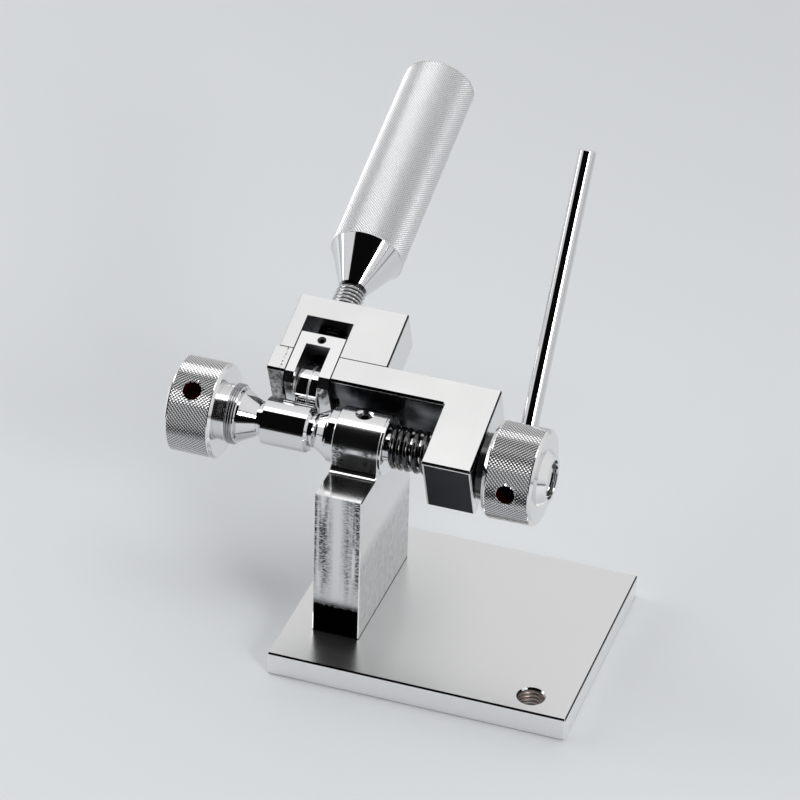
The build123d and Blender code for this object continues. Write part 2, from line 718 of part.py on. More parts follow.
def side_cheek():
    """Small block that closes the slot on the left."""
    piece = block((CHEEK_LEFT, BRIDGE_V, -HALF_T), (SLOT_LEFT, SEAM_V, HALF_T))
    piece = bevelled(piece, (Axis.X, SLOT_LEFT))
    piece -= head_screw_holes() + dowel_holes()
    return in_head(piece - axle_groove())


def head_block():
    """Rear block with the slot for the slider and the thread for the handle."""
    piece = block((BLOCK_LEFT, SEAM_V, BLOCK_LOW), (BLOCK_END, BLOCK_BACK, HALF_T))
    piece = bevelled(piece, (Axis.Y, SEAM_V))
    slot_low = (SLOT_LEFT, SEAM_V - CUT, BLOCK_LOW - CUT)
    piece -= block(slot_low, (SLOT_RIGHT, SLOT_END, HALF_T + CUT))
    piece -= along_v(PRESS_X, SCREW_N, rod(SLOT_END - CUT, BLOCK_BACK + CUT, nut_radius(M12)))
    piece -= head_screw_holes() + dowel_holes()
    return in_head(piece - axle_groove())


def head_screws():
    """The head's hidden cap screws."""
    screws = [from_back(x, n, M5, cap_screw(M5, ARM_SCREW_L)) for x, n in arm_screw_places()]
    screws += [from_back(x, n, M3, cap_screw(M3, CHEEK_SCREW_L)) for x, n in cheek_screw_places()]
    return group(in_head(screw) for screw in screws)


def head_dowels():
    """The head's hidden dowels."""
    pins = [dowel(x, n, DOWEL_R) for x, n in arm_dowel_places()]
    pins.append(dowel(CHEEK_SCREW_X, cheek_dowel_n(), CHEEK_DOWEL_R))
    return group(in_head(pin) for pin in pins)


def arm_bush():
    """Bush on which the head swings and slides."""
    bush = rod(ARM_LEFT, ARM_RIGHT, BUSH_R)
    return on_shaft(bush - rod(ARM_LEFT - CUT, ARM_RIGHT + CUT, SHAFT_R + RUN_FIT))


# ---- slider, upper roller and handle ----
def slider():
    """Fork that carries the upper roller and slides in the head's slot."""
    half = SLIDER_W / 2
    piece = block((PRESS_X - half, BRIDGE_V, -HALF_T), (PRESS_X + half, SLIDER_BACK, HALF_T))
    gap_low = (FORK_GAP_LEFT, BRIDGE_V - CUT, -HALF_T - CUT)
    piece -= block(gap_low, (FORK_GAP_LEFT + FORK_GAP_W, FORK_GAP_END, HALF_T + CUT))
    piece -= Pos(0, ROLLER_V, 0) * rod(PRESS_X - half - CUT, PRESS_X + half + CUT, AXLE_R + SEAT_FIT)
    bore = rod(FORK_GAP_END - CUT, SLIDER_BACK + CUT, NOSE_R + RUN_FIT)
    piece -= along_v(PRESS_X, SCREW_N, bore)
    depth = HALF_T - SCREW_N + CUT
    tap = pitch_radius(M4) + SEAT_FIT
    piece -= Pos(PRESS_X, RETAINER_V, HALF_T + CUT - depth / 2) * Cylinder(tap, depth)
    return in_head(piece)


def roller_axle():
    """Fixed axle whose ends run in the slot's guide grooves."""
    reach = SLOT_W / 2 + AXLE_GROOVE_DEPTH - AXLE_END_GAP
    axle = rod(PRESS_X - reach, PRESS_X + reach, AXLE_R, EDGE, EDGE)
    return in_head(Pos(0, ROLLER_V, 0) * axle)


def upper_roller():
    """Pressing roller with a narrow groove round it."""
    left = UPPER_ROLLER_LEFT
    right = UPPER_ROLLER_RIGHT
    groove_left = left + UPPER_GROOVE_LEFT
    groove_right = groove_left + UPPER_GROOVE_W
    groove_r = UPPER_ROLLER_R - UPPER_GROOVE_DEPTH
    bevel = UPPER_ROLLER_BEVEL
    profile = [
        (left, AXLE_R + RUN_FIT),
        (left, UPPER_ROLLER_R - bevel),
        (left + bevel, UPPER_ROLLER_R),
        (groove_left, UPPER_ROLLER_R),
        (groove_left, groove_r),
        (groove_right, groove_r),
        (groove_right, UPPER_ROLLER_R),
        (right - bevel, UPPER_ROLLER_R),
        (right, UPPER_ROLLER_R - bevel),
        (right, AXLE_R + RUN_FIT),
    ]
    return in_head(Pos(0, ROLLER_V, 0) * turned(profile))


def retaining_screw():
    """Set screw whose tip lies in the groove of the pressure screw's nose."""
    tip = SCREW_N + NOSE_GROOVE_R + END_GAP
    top = HALF_T - RETAINER_SINK
    return in_head(Pos(PRESS_X, RETAINER_V, top) * grub_screw(M4, top - tip))


def pressure_screw():
    """Screw that presses the slider; its grooved nose turns in the slider's back."""
    thread_r = pitch_radius(M12)
    thread_start = SLIDER_BACK + END_GAP
    groove_half = pitch_radius(M4) + END_GAP
    profile = [
        (NOSE_END, 0),
        (NOSE_END, NOSE_R),
        (RETAINER_V - groove_half, NOSE_R),
        (RETAINER_V - groove_half, NOSE_GROOVE_R),
        (RETAINER_V + groove_half, NOSE_GROOVE_R),
        (RETAINER_V + groove_half, NOSE_R),
        (thread_start, NOSE_R),
        (thread_start, thread_r),
        (THREAD_END, thread_r),
        (THREAD_END, UNDERCUT_R),
        (GRIP_V + SHANK_L, UNDERCUT_R),
        (GRIP_V + SHANK_L, 0),
    ]
    return in_head(along_v(PRESS_X, SCREW_N, turned(profile)))


def handle_grip():
    """Long knurled grip with a polished cone, fixed on the pressure screw."""
    bore = UNDERCUT_R + SEAT_FIT
    cone_end = GRIP_V + GRIP_CONE_L
    end = cone_end + GRIP_L
    band_end = end - GRIP_END_BEVEL - KNURL_RIM
    root = GRIP_R - KNURL_DEPTH
    profile = [
        (GRIP_V, bore),
        (GRIP_V, GRIP_NECK_R),
        (cone_end, GRIP_CONE_R),
        (cone_end, GRIP_R),
        (cone_end + KNURL_RIM, GRIP_R),
        (cone_end + KNURL_RIM, root),
        (band_end, root),
        (band_end, GRIP_R),
        (end - GRIP_END_BEVEL, GRIP_R),
        (end, GRIP_R - GRIP_END_BEVEL),
        (end, 0),
        (GRIP_V + SHANK_L + END_GAP, 0),
        (GRIP_V + SHANK_L + END_GAP, bore),
    ]
    return in_head(along_v(PRESS_X, SCREW_N, turned(profile)))


PIECES = [
    base_plate,
    column,
    column_screws,
    boss_grub_screw,
    main_shaft,
    lower_roller,
    clamping_cone,
    clamp_washers,
    left_knob,
    thrust_washer,
    spring,
    dished_washers,
    right_knob,
    tommy_bar,
    head_arm,
    side_cheek,
    head_block,
    head_screws,
    head_dowels,
    arm_bush,
    slider,
    roller_axle,
    upper_roller,
    retaining_screw,
    pressure_screw,
    handle_grip,
]

os.makedirs("parts", exist_ok=True)
print("head at rest is tilted", round(TILT, 3), "degrees; shaft at Z", SHAFT_Z)
for piece in PIECES:
    export_step(piece(), f"parts/{piece.__name__}.step")
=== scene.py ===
# %% [markdown]
# # A bench ring stretcher in its finish
#
# A goldsmith's ring stretcher is a small machine of bright plated steel: a ground plate and
# column, a shaft with polished cones and rollers, two knurled knobs and a long knurled grip.
# The solids come ready made from the construction model. This lesson gives them their
# finishes, cuts the knurls and threads as real surfaces, and sets up the studio.

# %% Load the frame
import json
from math import atan2, cos, pi, radians, sin

import bpy
import numpy as np
from mathutils import Matrix, Vector


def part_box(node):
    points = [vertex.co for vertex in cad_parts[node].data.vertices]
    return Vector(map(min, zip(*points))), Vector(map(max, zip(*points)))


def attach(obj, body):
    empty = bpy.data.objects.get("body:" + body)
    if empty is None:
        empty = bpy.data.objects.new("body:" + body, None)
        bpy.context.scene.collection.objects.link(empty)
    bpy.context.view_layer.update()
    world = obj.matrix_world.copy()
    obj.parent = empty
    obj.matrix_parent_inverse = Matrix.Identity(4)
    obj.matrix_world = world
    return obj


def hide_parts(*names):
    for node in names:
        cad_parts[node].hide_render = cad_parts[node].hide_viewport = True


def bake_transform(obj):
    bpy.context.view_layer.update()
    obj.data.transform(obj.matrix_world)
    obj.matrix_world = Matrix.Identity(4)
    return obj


MM = 0.001

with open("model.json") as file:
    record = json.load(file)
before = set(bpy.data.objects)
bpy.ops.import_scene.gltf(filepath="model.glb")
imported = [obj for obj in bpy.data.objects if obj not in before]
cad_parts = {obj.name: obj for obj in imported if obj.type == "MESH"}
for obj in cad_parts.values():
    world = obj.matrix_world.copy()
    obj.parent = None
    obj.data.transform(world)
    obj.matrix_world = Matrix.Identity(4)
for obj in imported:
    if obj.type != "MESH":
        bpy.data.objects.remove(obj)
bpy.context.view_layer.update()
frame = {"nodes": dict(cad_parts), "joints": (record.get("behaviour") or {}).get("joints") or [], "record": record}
nodes = frame["nodes"]
joints = {joint["name"]: joint for joint in frame["joints"]}
print("solids in the frame:", len(nodes))

# %% [markdown]
# ## The camera
#
# The view is a long lens from the front, a little to the right and well above. Its place is
# given the way a photographer would say it: how far round, how high, how far away and how
# much the camera leans, and where the middle of the plate lies in the view.

# %% Camera
CAMERA_TURN = radians(17.824)
CAMERA_HEIGHT = radians(33.085)
CAMERA_LEAN = radians(1.766)
CAMERA_DISTANCE = 1506.15 * MM
PLATE_RIGHT_OF_VIEW = 21.52 * MM
PLATE_BELOW_VIEW = 91.98 * MM
LENS = 172.19  # mm on a sensor 36 mm wide

back = Vector((sin(CAMERA_TURN) * cos(CAMERA_HEIGHT), -cos(CAMERA_TURN) * cos(CAMERA_HEIGHT),
               sin(CAMERA_HEIGHT)))
level = Vector((cos(CAMERA_TURN), sin(CAMERA_TURN), 0))
upright = back.cross(level)
right = level * cos(CAMERA_LEAN) + upright * sin(CAMERA_LEAN)
up = upright * cos(CAMERA_LEAN) - level * sin(CAMERA_LEAN)
place = back * CAMERA_DISTANCE - right * PLATE_RIGHT_OF_VIEW + up * PLATE_BELOW_VIEW

camera = bpy.data.objects.new("camera", bpy.data.cameras.new("camera"))
camera.data.lens = LENS
camera.data.sensor_width = 36
camera.data.clip_start = 0.05
camera.data.clip_end = 50
camera.matrix_world = Matrix.Translation(place) @ Matrix((right, up, back)).transposed().to_4x4()
bpy.context.scene.collection.objects.link(camera)
bpy.context.scene.camera = camera
print("camera at", [round(value, 3) for value in place])

# %% [markdown]
# ## Helpers for colour and nodes
#
# Colours are written as the hex values that a screen shows. Shaders work in linear light, so
# one function turns the one into the other. A second function adds a shader node: its
# settings, and its inputs, each a plain value or the output of another node.

# %% Colour and node helpers
def linear(hex_colour, alpha=1.0):
    """Turns an sRGB hex colour to linear: c / 12.92 when dark, else ((c + 0.055) / 1.055) ** 2.4."""
    values = [int(hex_colour[i:i + 2], 16) / 255 for i in (1, 3, 5)]
    return (*[c / 12.92 if c <= 0.04045 else ((c + 0.055) / 1.055) ** 2.4 for c in values], alpha)


def add(tree, kind, inputs=None, **settings):
    """Adds a node with its settings. An input is a value, or another node's output to link."""
    node = tree.nodes.new(kind)
    for name, value in settings.items():
        setattr(node, name, value)
    for name, value in (inputs or {}).items():
        if isinstance(value, bpy.types.NodeSocket):
            tree.links.new(value, node.inputs[name])
        else:
            node.inputs[name].default_value = value
    return node


print("white is", linear("#FFFFFF")[:3])

# %% [markdown]
# ## The studio
#
# Polished metal shows its surroundings more than itself, so the studio is part of the look.
# The part stands on a pale table in a white tent that is open in front, towards the camera,
# and outside the opening the table is painted dark: a painted shadow. A cylinder then shows a
# white line on top, the dark slit of the opening below it and the pale table at the bottom. The
# tent needs no walls: a world whose colour depends on the direction does the same.

# %% Floor
FLOOR_HALF = 12.0
FLOOR_GAP = 0.02 * MM  # the floor lies this far under the plate

corners = [(-1, -1), (1, -1), (1, 1), (-1, 1)]
floor_mesh = bpy.data.meshes.new("floor")
floor_mesh.from_pydata([(x * FLOOR_HALF, y * FLOOR_HALF, -FLOOR_GAP) for x, y in corners], [],
                       [(0, 1, 2, 3)])
floor = bpy.data.objects.new("floor", floor_mesh)
bpy.context.scene.collection.objects.link(floor)
print("floor", 2 * FLOOR_HALF, "m wide")

# %% Paint of the floor, with a painted shadow in front
FLOOR_COLOUR = "#DADDE0"
SHADOW_COLOUR = "#161617"
# painted shadow: in front of the part the table's colour fades to near black between these places
FLOOR_FADE = (-0.38, -0.60)  # in front of the part the table falls into shadow between these places
FLOOR_ROUGHNESS = 0.6
MIX_A, MIX_B, MIX_OUT = 6, 7, 2  # numbers of a Mix node's sockets for colours

floor_paint = bpy.data.materials.new("pale_table_top")
floor_paint.use_nodes = True
tree = floor_paint.node_tree
shader = tree.nodes["Principled BSDF"]
shader.inputs["Roughness"].default_value = FLOOR_ROUGHNESS
where = add(tree, "ShaderNodeTexCoord").outputs["Object"]
ahead = add(tree, "ShaderNodeSeparateXYZ", {"Vector": where}).outputs["Y"]
fade = add(tree, "ShaderNodeMapRange", {"Value": ahead, "From Min": FLOOR_FADE[1],
                                        "From Max": FLOOR_FADE[0]})
paint = add(tree, "ShaderNodeMix", {0: fade.outputs["Result"], MIX_A: linear(SHADOW_COLOUR),
                                    MIX_B: linear(FLOOR_COLOUR)}, data_type="RGBA")
tree.links.new(paint.outputs[MIX_OUT], shader.inputs["Base Color"])
floor_mesh.materials.append(floor_paint)
print("the shadow begins", -FLOOR_FADE[0], "m in front of the part")

# %% World: the tent's glow
TENT_STOPS = [(0.0, "#D4D5D7"), (0.3, "#E2E2E3"), (0.65, "#E6E6E7"), (0.9, "#F2F2F3"), (1.0, "#FFFFFF")]

world = bpy.data.worlds.new("studio")
bpy.context.scene.world = world
bpy.context.scene.view_settings.view_transform = "Standard"
world.use_nodes = True
sky = world.node_tree
direction = add(sky, "ShaderNodeTexCoord").outputs["Generated"]
parts = add(sky, "ShaderNodeSeparateXYZ", {"Vector": direction})
tent = add(sky, "ShaderNodeValToRGB", {"Fac": parts.outputs["Z"]})
while len(tent.color_ramp.elements) < len(TENT_STOPS):
    tent.color_ramp.elements.new(0.5)
for element, (stop, colour) in zip(tent.color_ramp.elements, TENT_STOPS):
    element.position = stop
    element.color = linear(colour)
print("tent stops, from the horizon up:", len(TENT_STOPS))

# %% World: the dark slit in front
SLIT_TOP = 0.2  # the slit ends where forward is less than this share of upward
SLIT_SIDE = 0.73  # and where forward is less than this share of sideways
SLIT_EDGE = 0.05
SLIT_COLOUR = "#0B0B0C"
WORLD_STRENGTH = 1.0

sideways = add(sky, "ShaderNodeMath", {0: parts.outputs["X"]}, operation="ABSOLUTE")
inside = []
for share, other in ((SLIT_TOP, parts.outputs["Z"]), (SLIT_SIDE, sideways.outputs[0])):
    margin = add(sky, "ShaderNodeMath", {0: other, 1: -share, 2: 0.0}, operation="MULTIPLY_ADD")
    ahead = add(sky, "ShaderNodeMath", {0: margin.outputs[0], 1: parts.outputs["Y"]}, operation="SUBTRACT")
    inside.append(add(sky, "ShaderNodeMapRange", {"Value": ahead.outputs[0], "From Min": -SLIT_EDGE / 2,
                                                  "From Max": SLIT_EDGE / 2}))
slit = add(sky, "ShaderNodeMath", {0: inside[0].outputs["Result"], 1: inside[1].outputs["Result"]},
           operation="MULTIPLY")
shade = add(sky, "ShaderNodeMix", {0: slit.outputs[0], MIX_A: tent.outputs["Color"],
                                   MIX_B: linear(SLIT_COLOUR)}, data_type="RGBA")
glow = sky.nodes["Background"]
glow.inputs["Strength"].default_value = WORLD_STRENGTH
sky.links.new(shade.outputs[MIX_OUT], glow.inputs["Color"])
print("slit up to", SLIT_TOP, "of upward")

# %% [markdown]
# ## Soft lamps
#
# The tent alone lights evenly and leaves the shapes flat. Two softboxes and a strip overhead
# add a lighter side and a soft shadow. They are large, because a small lamp would leave hard
# bright spots on polished steel.

# %% Soft lamps
LAMPS = {
    "right_front_softbox": dict(place=(1.0, -0.85, 0.75), aim=(0, 0, 0.08), size=(0.4, 0.5), power=7.0),
    "left_softbox": dict(place=(-1.3, 0.2, 0.7), aim=(0, 0, 0.08), size=(0.6, 0.9), power=5.0),
    "ceiling_strip": dict(place=(0.0, -0.04, 1.3), aim=(0, 0, 0.05), size=(1.2, 0.4), power=2.6),
}
for name, lamp in LAMPS.items():
    data = bpy.data.lights.new(name, "AREA")
    data.shape = "RECTANGLE"
    data.size, data.size_y = lamp["size"]
    data.energy = lamp["power"]
    lamp_object = bpy.data.objects.new(name, data)
    beam = Vector(lamp["aim"]) - Vector(lamp["place"])
    turn = beam.to_track_quat("-Z", "Y").to_matrix().to_4x4()
    lamp_object.matrix_world = Matrix.Translation(lamp["place"]) @ turn
    bpy.context.scene.collection.objects.link(lamp_object)
print("lamps:", ", ".join(LAMPS))

# %% [markdown]
# ## Spindles
#
# Nearly everything here is turned on a lathe, so places are given round a spindle: how far
# along its axis, how far out, and at what angle. The shaft's spindle runs along X. The
# handle's spindle lies in the tilted head, and its direction is read from the joint of the
# slider, which moves along it.

# %% Spindle frames
class Spindle:
    """An axis with two directions square to it, side and rise, where side x rise = axis."""

    def __init__(self, origin, axis, side):
        self.origin = np.array(origin, float)
        self.axis = np.array(axis, float)
        self.side = np.array(side, float)
        self.rise = np.cross(self.axis, self.side)

    def points(self, along, radius, angle):
        """origin + along * axis + radius * (cos(angle) * side + sin(angle) * rise)."""
        along, radius, angle = np.broadcast_arrays(along, radius, angle)
        out = np.cos(angle)[..., None] * self.side + np.sin(angle)[..., None] * self.rise
        return self.origin + along[..., None] * self.axis + radius[..., None] * out

    def reach(self, node):
        """Lowest and highest place of a solid along the axis, and its largest radius."""
        mesh = nodes[node].data
        flat = np.zeros(3 * len(mesh.vertices))
        mesh.vertices.foreach_get("co", flat)
        offset = flat.reshape(-1, 3) - self.origin
        along = offset @ self.axis
        radius = np.linalg.norm(offset - along[:, None] * self.axis, axis=1)
        return along.min(), along.max(), radius.max()


shaft_point = Vector(joints["head_swing"]["pos_m"])
handle_point = Vector(joints["handle_turn"]["pos_m"])
handle_axis = -Vector(joints["press_slide"]["axis"])
handle_origin = handle_point - handle_axis * (handle_point - shaft_point).dot(handle_axis)

shaft = Spindle(shaft_point, (1, 0, 0), (0, 1, 0))
handle = Spindle(handle_origin, handle_axis, handle_axis.cross((1, 0, 0)) * -1)
head_frame = Spindle(shaft_point, handle.axis, handle.side)
column_low, column_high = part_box("column")
upright_at_column = Spindle(((column_low.x + column_high.x) / 2, 0, 0), (0, 0, 1), (1, 0, 0))
_, slider_back, _ = handle.reach("slider")
print("grip reaches from and to, and its radius:", handle.reach("handle_grip"))

# %% [markdown]
# ## Finishes
#
# All of it is steel with a thin bright plating, so every finish is a metal, and what tells
# them apart is how the surface was worked before plating. Ground faces have fine parallel
# scratches and blur what they mirror. Turned faces are polished and mirror sharply, with
# faint rings. Knurled teeth are coined, with a slight blur. Screws and the spring are black.

# %% A metal to start from
def metal(name, colour, roughness, metallic=1.0):
    """A metal of one colour and roughness. Returns the material, its tree and its shader."""
    material = bpy.data.materials.new(name)
    material.use_nodes = True
    tree = material.node_tree
    shader = tree.nodes["Principled BSDF"]
    shader.inputs["Base Color"].default_value = linear(colour)
    shader.inputs["Metallic"].default_value = metallic
    shader.inputs["Roughness"].default_value = roughness
    return material, tree, shader


print("metals keep the shader's own IOR")

# %% [markdown]
# ## Places and zones inside a material
#
# Some finishes change from place to place: a painted reflection along an edge, painted shade in
# a slot, a brown wall in a hole. They could be drawn into an image, but each such zone is easy
# to say in words, as a range of places and directions on the piece. Small helpers measure these and lay a finish
# over them.

# %% Places inside a material
def place_in(tree, spindle):
    """Where a surface point lies on a spindle: along its axis, its side and its rise, and how far
    from the axis. Object coordinates keep the pattern fixed to the piece."""
    spot = add(tree, "ShaderNodeVectorMath", {0: add(tree, "ShaderNodeTexCoord").outputs["Object"],
                                              1: tuple(spindle.origin)}, operation="SUBTRACT").outputs[0]
    places = [add(tree, "ShaderNodeVectorMath", {0: spot, 1: tuple(way)}, operation="DOT_PRODUCT")
              for way in (spindle.axis, spindle.side, spindle.rise)]
    across = add(tree, "ShaderNodeVectorMath", {0: spot, 1: tuple(spindle.axis)}, operation="CROSS_PRODUCT")
    radius = add(tree, "ShaderNodeVectorMath", {0: across.outputs[0]}, operation="LENGTH")
    return [node.outputs["Value"] for node in (*places, radius)]


def facing(tree, direction):
    """How far a surface faces a direction of the piece: the cosine of the angle between them."""
    normal = add(tree, "ShaderNodeTexCoord").outputs["Normal"]
    return add(tree, "ShaderNodeVectorMath", {0: normal, 1: tuple(direction)},
               operation="DOT_PRODUCT").outputs["Value"]


print("places follow a spindle")

# %% Zones and overlays
def zone(tree, *ranges):
    """1 where every value lies in its range from low to high, and 0 elsewhere."""
    mask = 1.0
    for value, low, high in ranges:
        hit = add(tree, "ShaderNodeMath", {0: value, 1: (low + high) / 2, 2: (high - low) / 2},
                  operation="COMPARE")
        mask = add(tree, "ShaderNodeMath", {0: mask, 1: hit.outputs[0]}, operation="MULTIPLY").outputs[0]
    return mask


def overlay(tree, mask, colour, roughness):
    """Gives the shader another colour and roughness, as far as the mask goes from 0 to 1."""
    shader = tree.nodes["Principled BSDF"]
    for name, value, kind, a, b, out in (("Base Color", linear(colour), "RGBA", MIX_A, MIX_B, MIX_OUT),
                                         ("Roughness", roughness, "FLOAT", 2, 3, 0)):
        socket = shader.inputs[name]
        before = socket.links[0].from_socket if socket.is_linked else socket.default_value
        mixed = add(tree, "ShaderNodeMix", {0: mask, a: before, b: value}, data_type=kind)
        tree.links.new(mixed.outputs[out], socket)


print("a zone has its own colour and roughness")

# %% [markdown]
# ## Ground and plated steel
#
# The plate, the column and the head are mild steel, ground flat and nickel plated. The wheel
# leaves fine parallel scratches, which blur what a face mirrors, and the hand leaves cloudy
# patches. A drawing of scratches could be laid on every face, but noise on the piece's own
# coordinates needs no unwrapping and runs on round the corners.

# %% Noise and ground steel
GRIND_WIDTH = 0.35 * MM  # real scratches are finer than the render can show, so these are coarse
GRIND_LENGTH = 18 * MM
CLOUD_SIZE = 24 * MM
SCRATCH_SHARE = 0.35  # how much the scratches count beside the clouds
SCRATCH_DEPTH = 0.01 * MM


def noise(tree, sizes, detail=3.0):
    """Noise from 0 to 1 whose spots measure so much along x, y and z."""
    coordinates = add(tree, "ShaderNodeTexCoord").outputs["Object"]
    scaled = add(tree, "ShaderNodeMapping", {"Vector": coordinates, "Scale": [1 / size for size in sizes]})
    return add(tree, "ShaderNodeTexNoise", {"Vector": scaled.outputs[0], "Scale": 1.0, "Detail": detail,
                                            "Roughness": 0.6}).outputs["Fac"]


def ground_steel(name, colour, roughness, scratch=0.12, spread=0.2):
    """Plated steel ground with a fine wheel. Long thin noise along the grain makes the scratches,
    large soft noise makes the cloudy patches that a hand-guided finish leaves."""
    material, tree, shader = metal(name, colour, roughness)
    scratches = noise(tree, [GRIND_LENGTH, GRIND_WIDTH, GRIND_WIDTH])
    clouds = noise(tree, [CLOUD_SIZE] * 3)
    mixed = add(tree, "ShaderNodeMath", {0: scratches, 1: SCRATCH_SHARE, 2: clouds},
                operation="MULTIPLY_ADD")
    rough = add(tree, "ShaderNodeMapRange", {"Value": mixed.outputs[0], "From Min": 0.45, "From Max": 0.95,
                                             "To Min": roughness * (1 - spread),
                                             "To Max": roughness * (1 + spread)})
    tree.links.new(rough.outputs["Result"], shader.inputs["Roughness"])
    bump = add(tree, "ShaderNodeBump", {"Height": scratches, "Strength": scratch,
                                        "Distance": SCRATCH_DEPTH})
    tree.links.new(bump.outputs["Normal"], shader.inputs["Normal"])
    return material


ground_plate = ground_steel("ground_nickel_plate", "#E8E8E7", 0.26, scratch=0.0, spread=0.02)
ground_head = ground_steel("ground_nickel_head", "#E9E9E8", 0.2)
ground_cheek = ground_steel("rough_nickel_cheek", "#E9E9E8", 0.2)
ground_slider = ground_steel("ground_nickel_slider", "#F4F4F4", 0.16)
ground_column = ground_steel("ground_nickel_column", "#E6E6E6", 0.14)
print("scratches", GRIND_WIDTH / MM, "mm wide")

# %% [markdown]
# ## Painted edge lines and the plate's flanks
#
# The narrow bevel round a ground face mirrors the dark opening of the studio, with a light
# line where it meets the face. Bevels in the mesh would be half a millimetre wide and mirror
# too little to be seen, so these lines are painted into the finish as zones that move with the
# piece: a painted reflection for the dark band and a painted highlight for the light line.

# %% Painted edge lines along the head's top
SQUARE_ON = (0.95, 1.1)  # cosines of faces that look straight in a direction
TURNED_TO = (0.6, 1.1)  # cosines of these and their bevels
FRONT, RIGHT, UP = (0, -1, 0), (1, 0, 0), (0, 0, 1)
HEAD_TOP = 13.6 * MM  # the head's top and bottom lie this far from the plane through the shaft
# painted reflection: the band along the top edge is painted dark as if the bevel mirrored the dark slit, and the
# line under it is a painted highlight
EDGE_BAND = 1.4 * MM  # bevel that mirrors the dark slit
EDGE_HIGHLIGHT = 0.55 * MM
EDGE_REFLECTION_BLACK = "#0B0B0C"
PAINTED_HIGHLIGHT_WHITE = "#F4F4F4"


def painted_edge_lines(tree, height, ways):
    """A painted reflection, a dark band, with a painted highlight line under it, along the top edge of the faces
    that look these ways.
    """
    foot = HEAD_TOP - EDGE_BAND
    for way in ways:
        side = facing(tree, way)
        overlay(tree, zone(tree, (height, foot - EDGE_HIGHLIGHT, foot), (side, *TURNED_TO)), PAINTED_HIGHLIGHT_WHITE, 0.3)
        overlay(tree, zone(tree, (height, foot, HEAD_TOP), (side, *TURNED_TO)), EDGE_REFLECTION_BLACK, 0.2)


print("edge lines", round((EDGE_BAND + EDGE_HIGHLIGHT) / MM, 2), "mm wide")

# %% Plate: satin flanks painted lighter, with a painted reflection line at the top edge
FLANK = (-0.1, 0.3)  # how far an upright face looks up or down
FLANK_COLOUR = "#F6F6F6"
PLATE_LINE = 0.8 * MM

plate_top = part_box("base_plate")[1].z
tree = ground_plate.node_tree
height, _, _, _ = place_in(tree, upright_at_column)
flank = add(tree, "ShaderNodeMath", {0: facing(tree, UP)}, operation="ABSOLUTE").outputs[0]
# satin flanks: a rougher finish, with their colour also painted lighter, a painted light on the upright faces
overlay(tree, zone(tree, (flank, *FLANK)), FLANK_COLOUR, 0.34)
for way in (FRONT, RIGHT):
    # painted reflection: a black line along the top edge of the front and right faces, as if their bevel mirrored
    # the dark slit
    line = zone(tree, (facing(tree, way), *TURNED_TO), (height, plate_top - PLATE_LINE, plate_top))
    overlay(tree, line, "#141415", 0.3)
print("plate's top at", round(plate_top / MM, 1), "mm")

# %% [markdown]
# ## The head and its slot
#
# The head's front faces look into the dark opening, so they are painted graphite: a painted
# reflection of the opening, with soft lighter clouds. Painted highlights frame the arm's nose.
# Painted shade greys the slot's walls and leaves a black line on both sides of the fork. The cheek
# beside the slot was left rough from the saw. All of these are zones on the head's own coordinates.

# %% Head: front faces painted graphite, a painted reflection of the dark opening
FRONT_CLOUDS = [14 * MM, 9 * MM, 9 * MM]
FRONT_REFLECTION_DARK, FRONT_REFLECTION_PALE = "#2B2D31", "#85878B"

tree = ground_head.node_tree
along, height, across, _ = place_in(tree, head_frame)
ahead = -head_frame.axis
front = zone(tree, (facing(tree, ahead), *SQUARE_ON))
clouds = add(tree, "ShaderNodeMapRange", {"Value": noise(tree, FRONT_CLOUDS, detail=1.0),
                                          "From Min": 0.35, "From Max": 0.7})
pale_front = add(tree, "ShaderNodeMath", {0: front, 1: clouds.outputs["Result"]}, operation="MULTIPLY")
# painted reflection: the front faces are painted dark as if they mirrored the dark opening, with lighter clouds
overlay(tree, front, FRONT_REFLECTION_DARK, 0.22)
overlay(tree, pale_front.outputs[0], FRONT_REFLECTION_PALE, 0.22)
print("clouds", FRONT_CLOUDS[0] / MM, "mm long")

# %% Head: painted highlights on the nose's rims, and the painted edge lines
NOSE_REACH = 20 * MM  # the arm's nose lies within this distance ahead of the shaft
NOSE_REFLECTION_COLOUR = "#2C2F34"
ARM_WIDTH = 19.6 * MM
NOSE_HIGHLIGHT_WIDTH = EDGE_HIGHLIGHT + 0.3 * MM

nose = (along, -NOSE_REACH, 0.0)
# painted reflection: the nose's front face is painted a darker graphite
overlay(tree, zone(tree, (facing(tree, ahead), *SQUARE_ON), nose), NOSE_REFLECTION_COLOUR, 0.3)
nose_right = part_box("head_arm")[1].x - head_frame.origin[0]
# painted highlights: light lines along the left and right edges of the nose's front
for low in (nose_right - ARM_WIDTH, nose_right - NOSE_HIGHLIGHT_WIDTH):
    rim = zone(tree, (facing(tree, ahead), *TURNED_TO), nose, (across, low, low + NOSE_HIGHLIGHT_WIDTH))
    overlay(tree, rim, PAINTED_HIGHLIGHT_WHITE, 0.3)
painted_edge_lines(tree, height, (ahead, RIGHT))
print("nose from", round((nose_right - ARM_WIDTH) / MM, 1), "to", round(nose_right / MM, 1), "mm")

# %% Head: painted shade on the slot's walls
BRIDGE_FRONT = 15.4 * MM  # the slot begins this far behind the shaft
SLOT_END = 43.6 * MM
SLOT_SHADE_GREY = "#77777A"
SKIN = 0.3 * MM  # a zone of inner walls keeps this far from the outer faces
SIDE_MARGIN = 0.3 * MM  # and reaches this far into the slot's side walls

fork_left, fork_right = (corner.x - head_frame.origin[0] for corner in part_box("slider"))
# painted shade: the slot's inner walls are painted grey
pocket = zone(tree, (across, fork_left - SIDE_MARGIN, fork_right + SIDE_MARGIN),
              (height, -1.0, HEAD_TOP - SKIN), (along, BRIDGE_FRONT + 0.5 * MM, SLOT_END + 0.1 * MM))
overlay(tree, pocket, SLOT_SHADE_GREY, 0.35)
print("slot", round((fork_right - fork_left) / MM, 1), "mm wide")

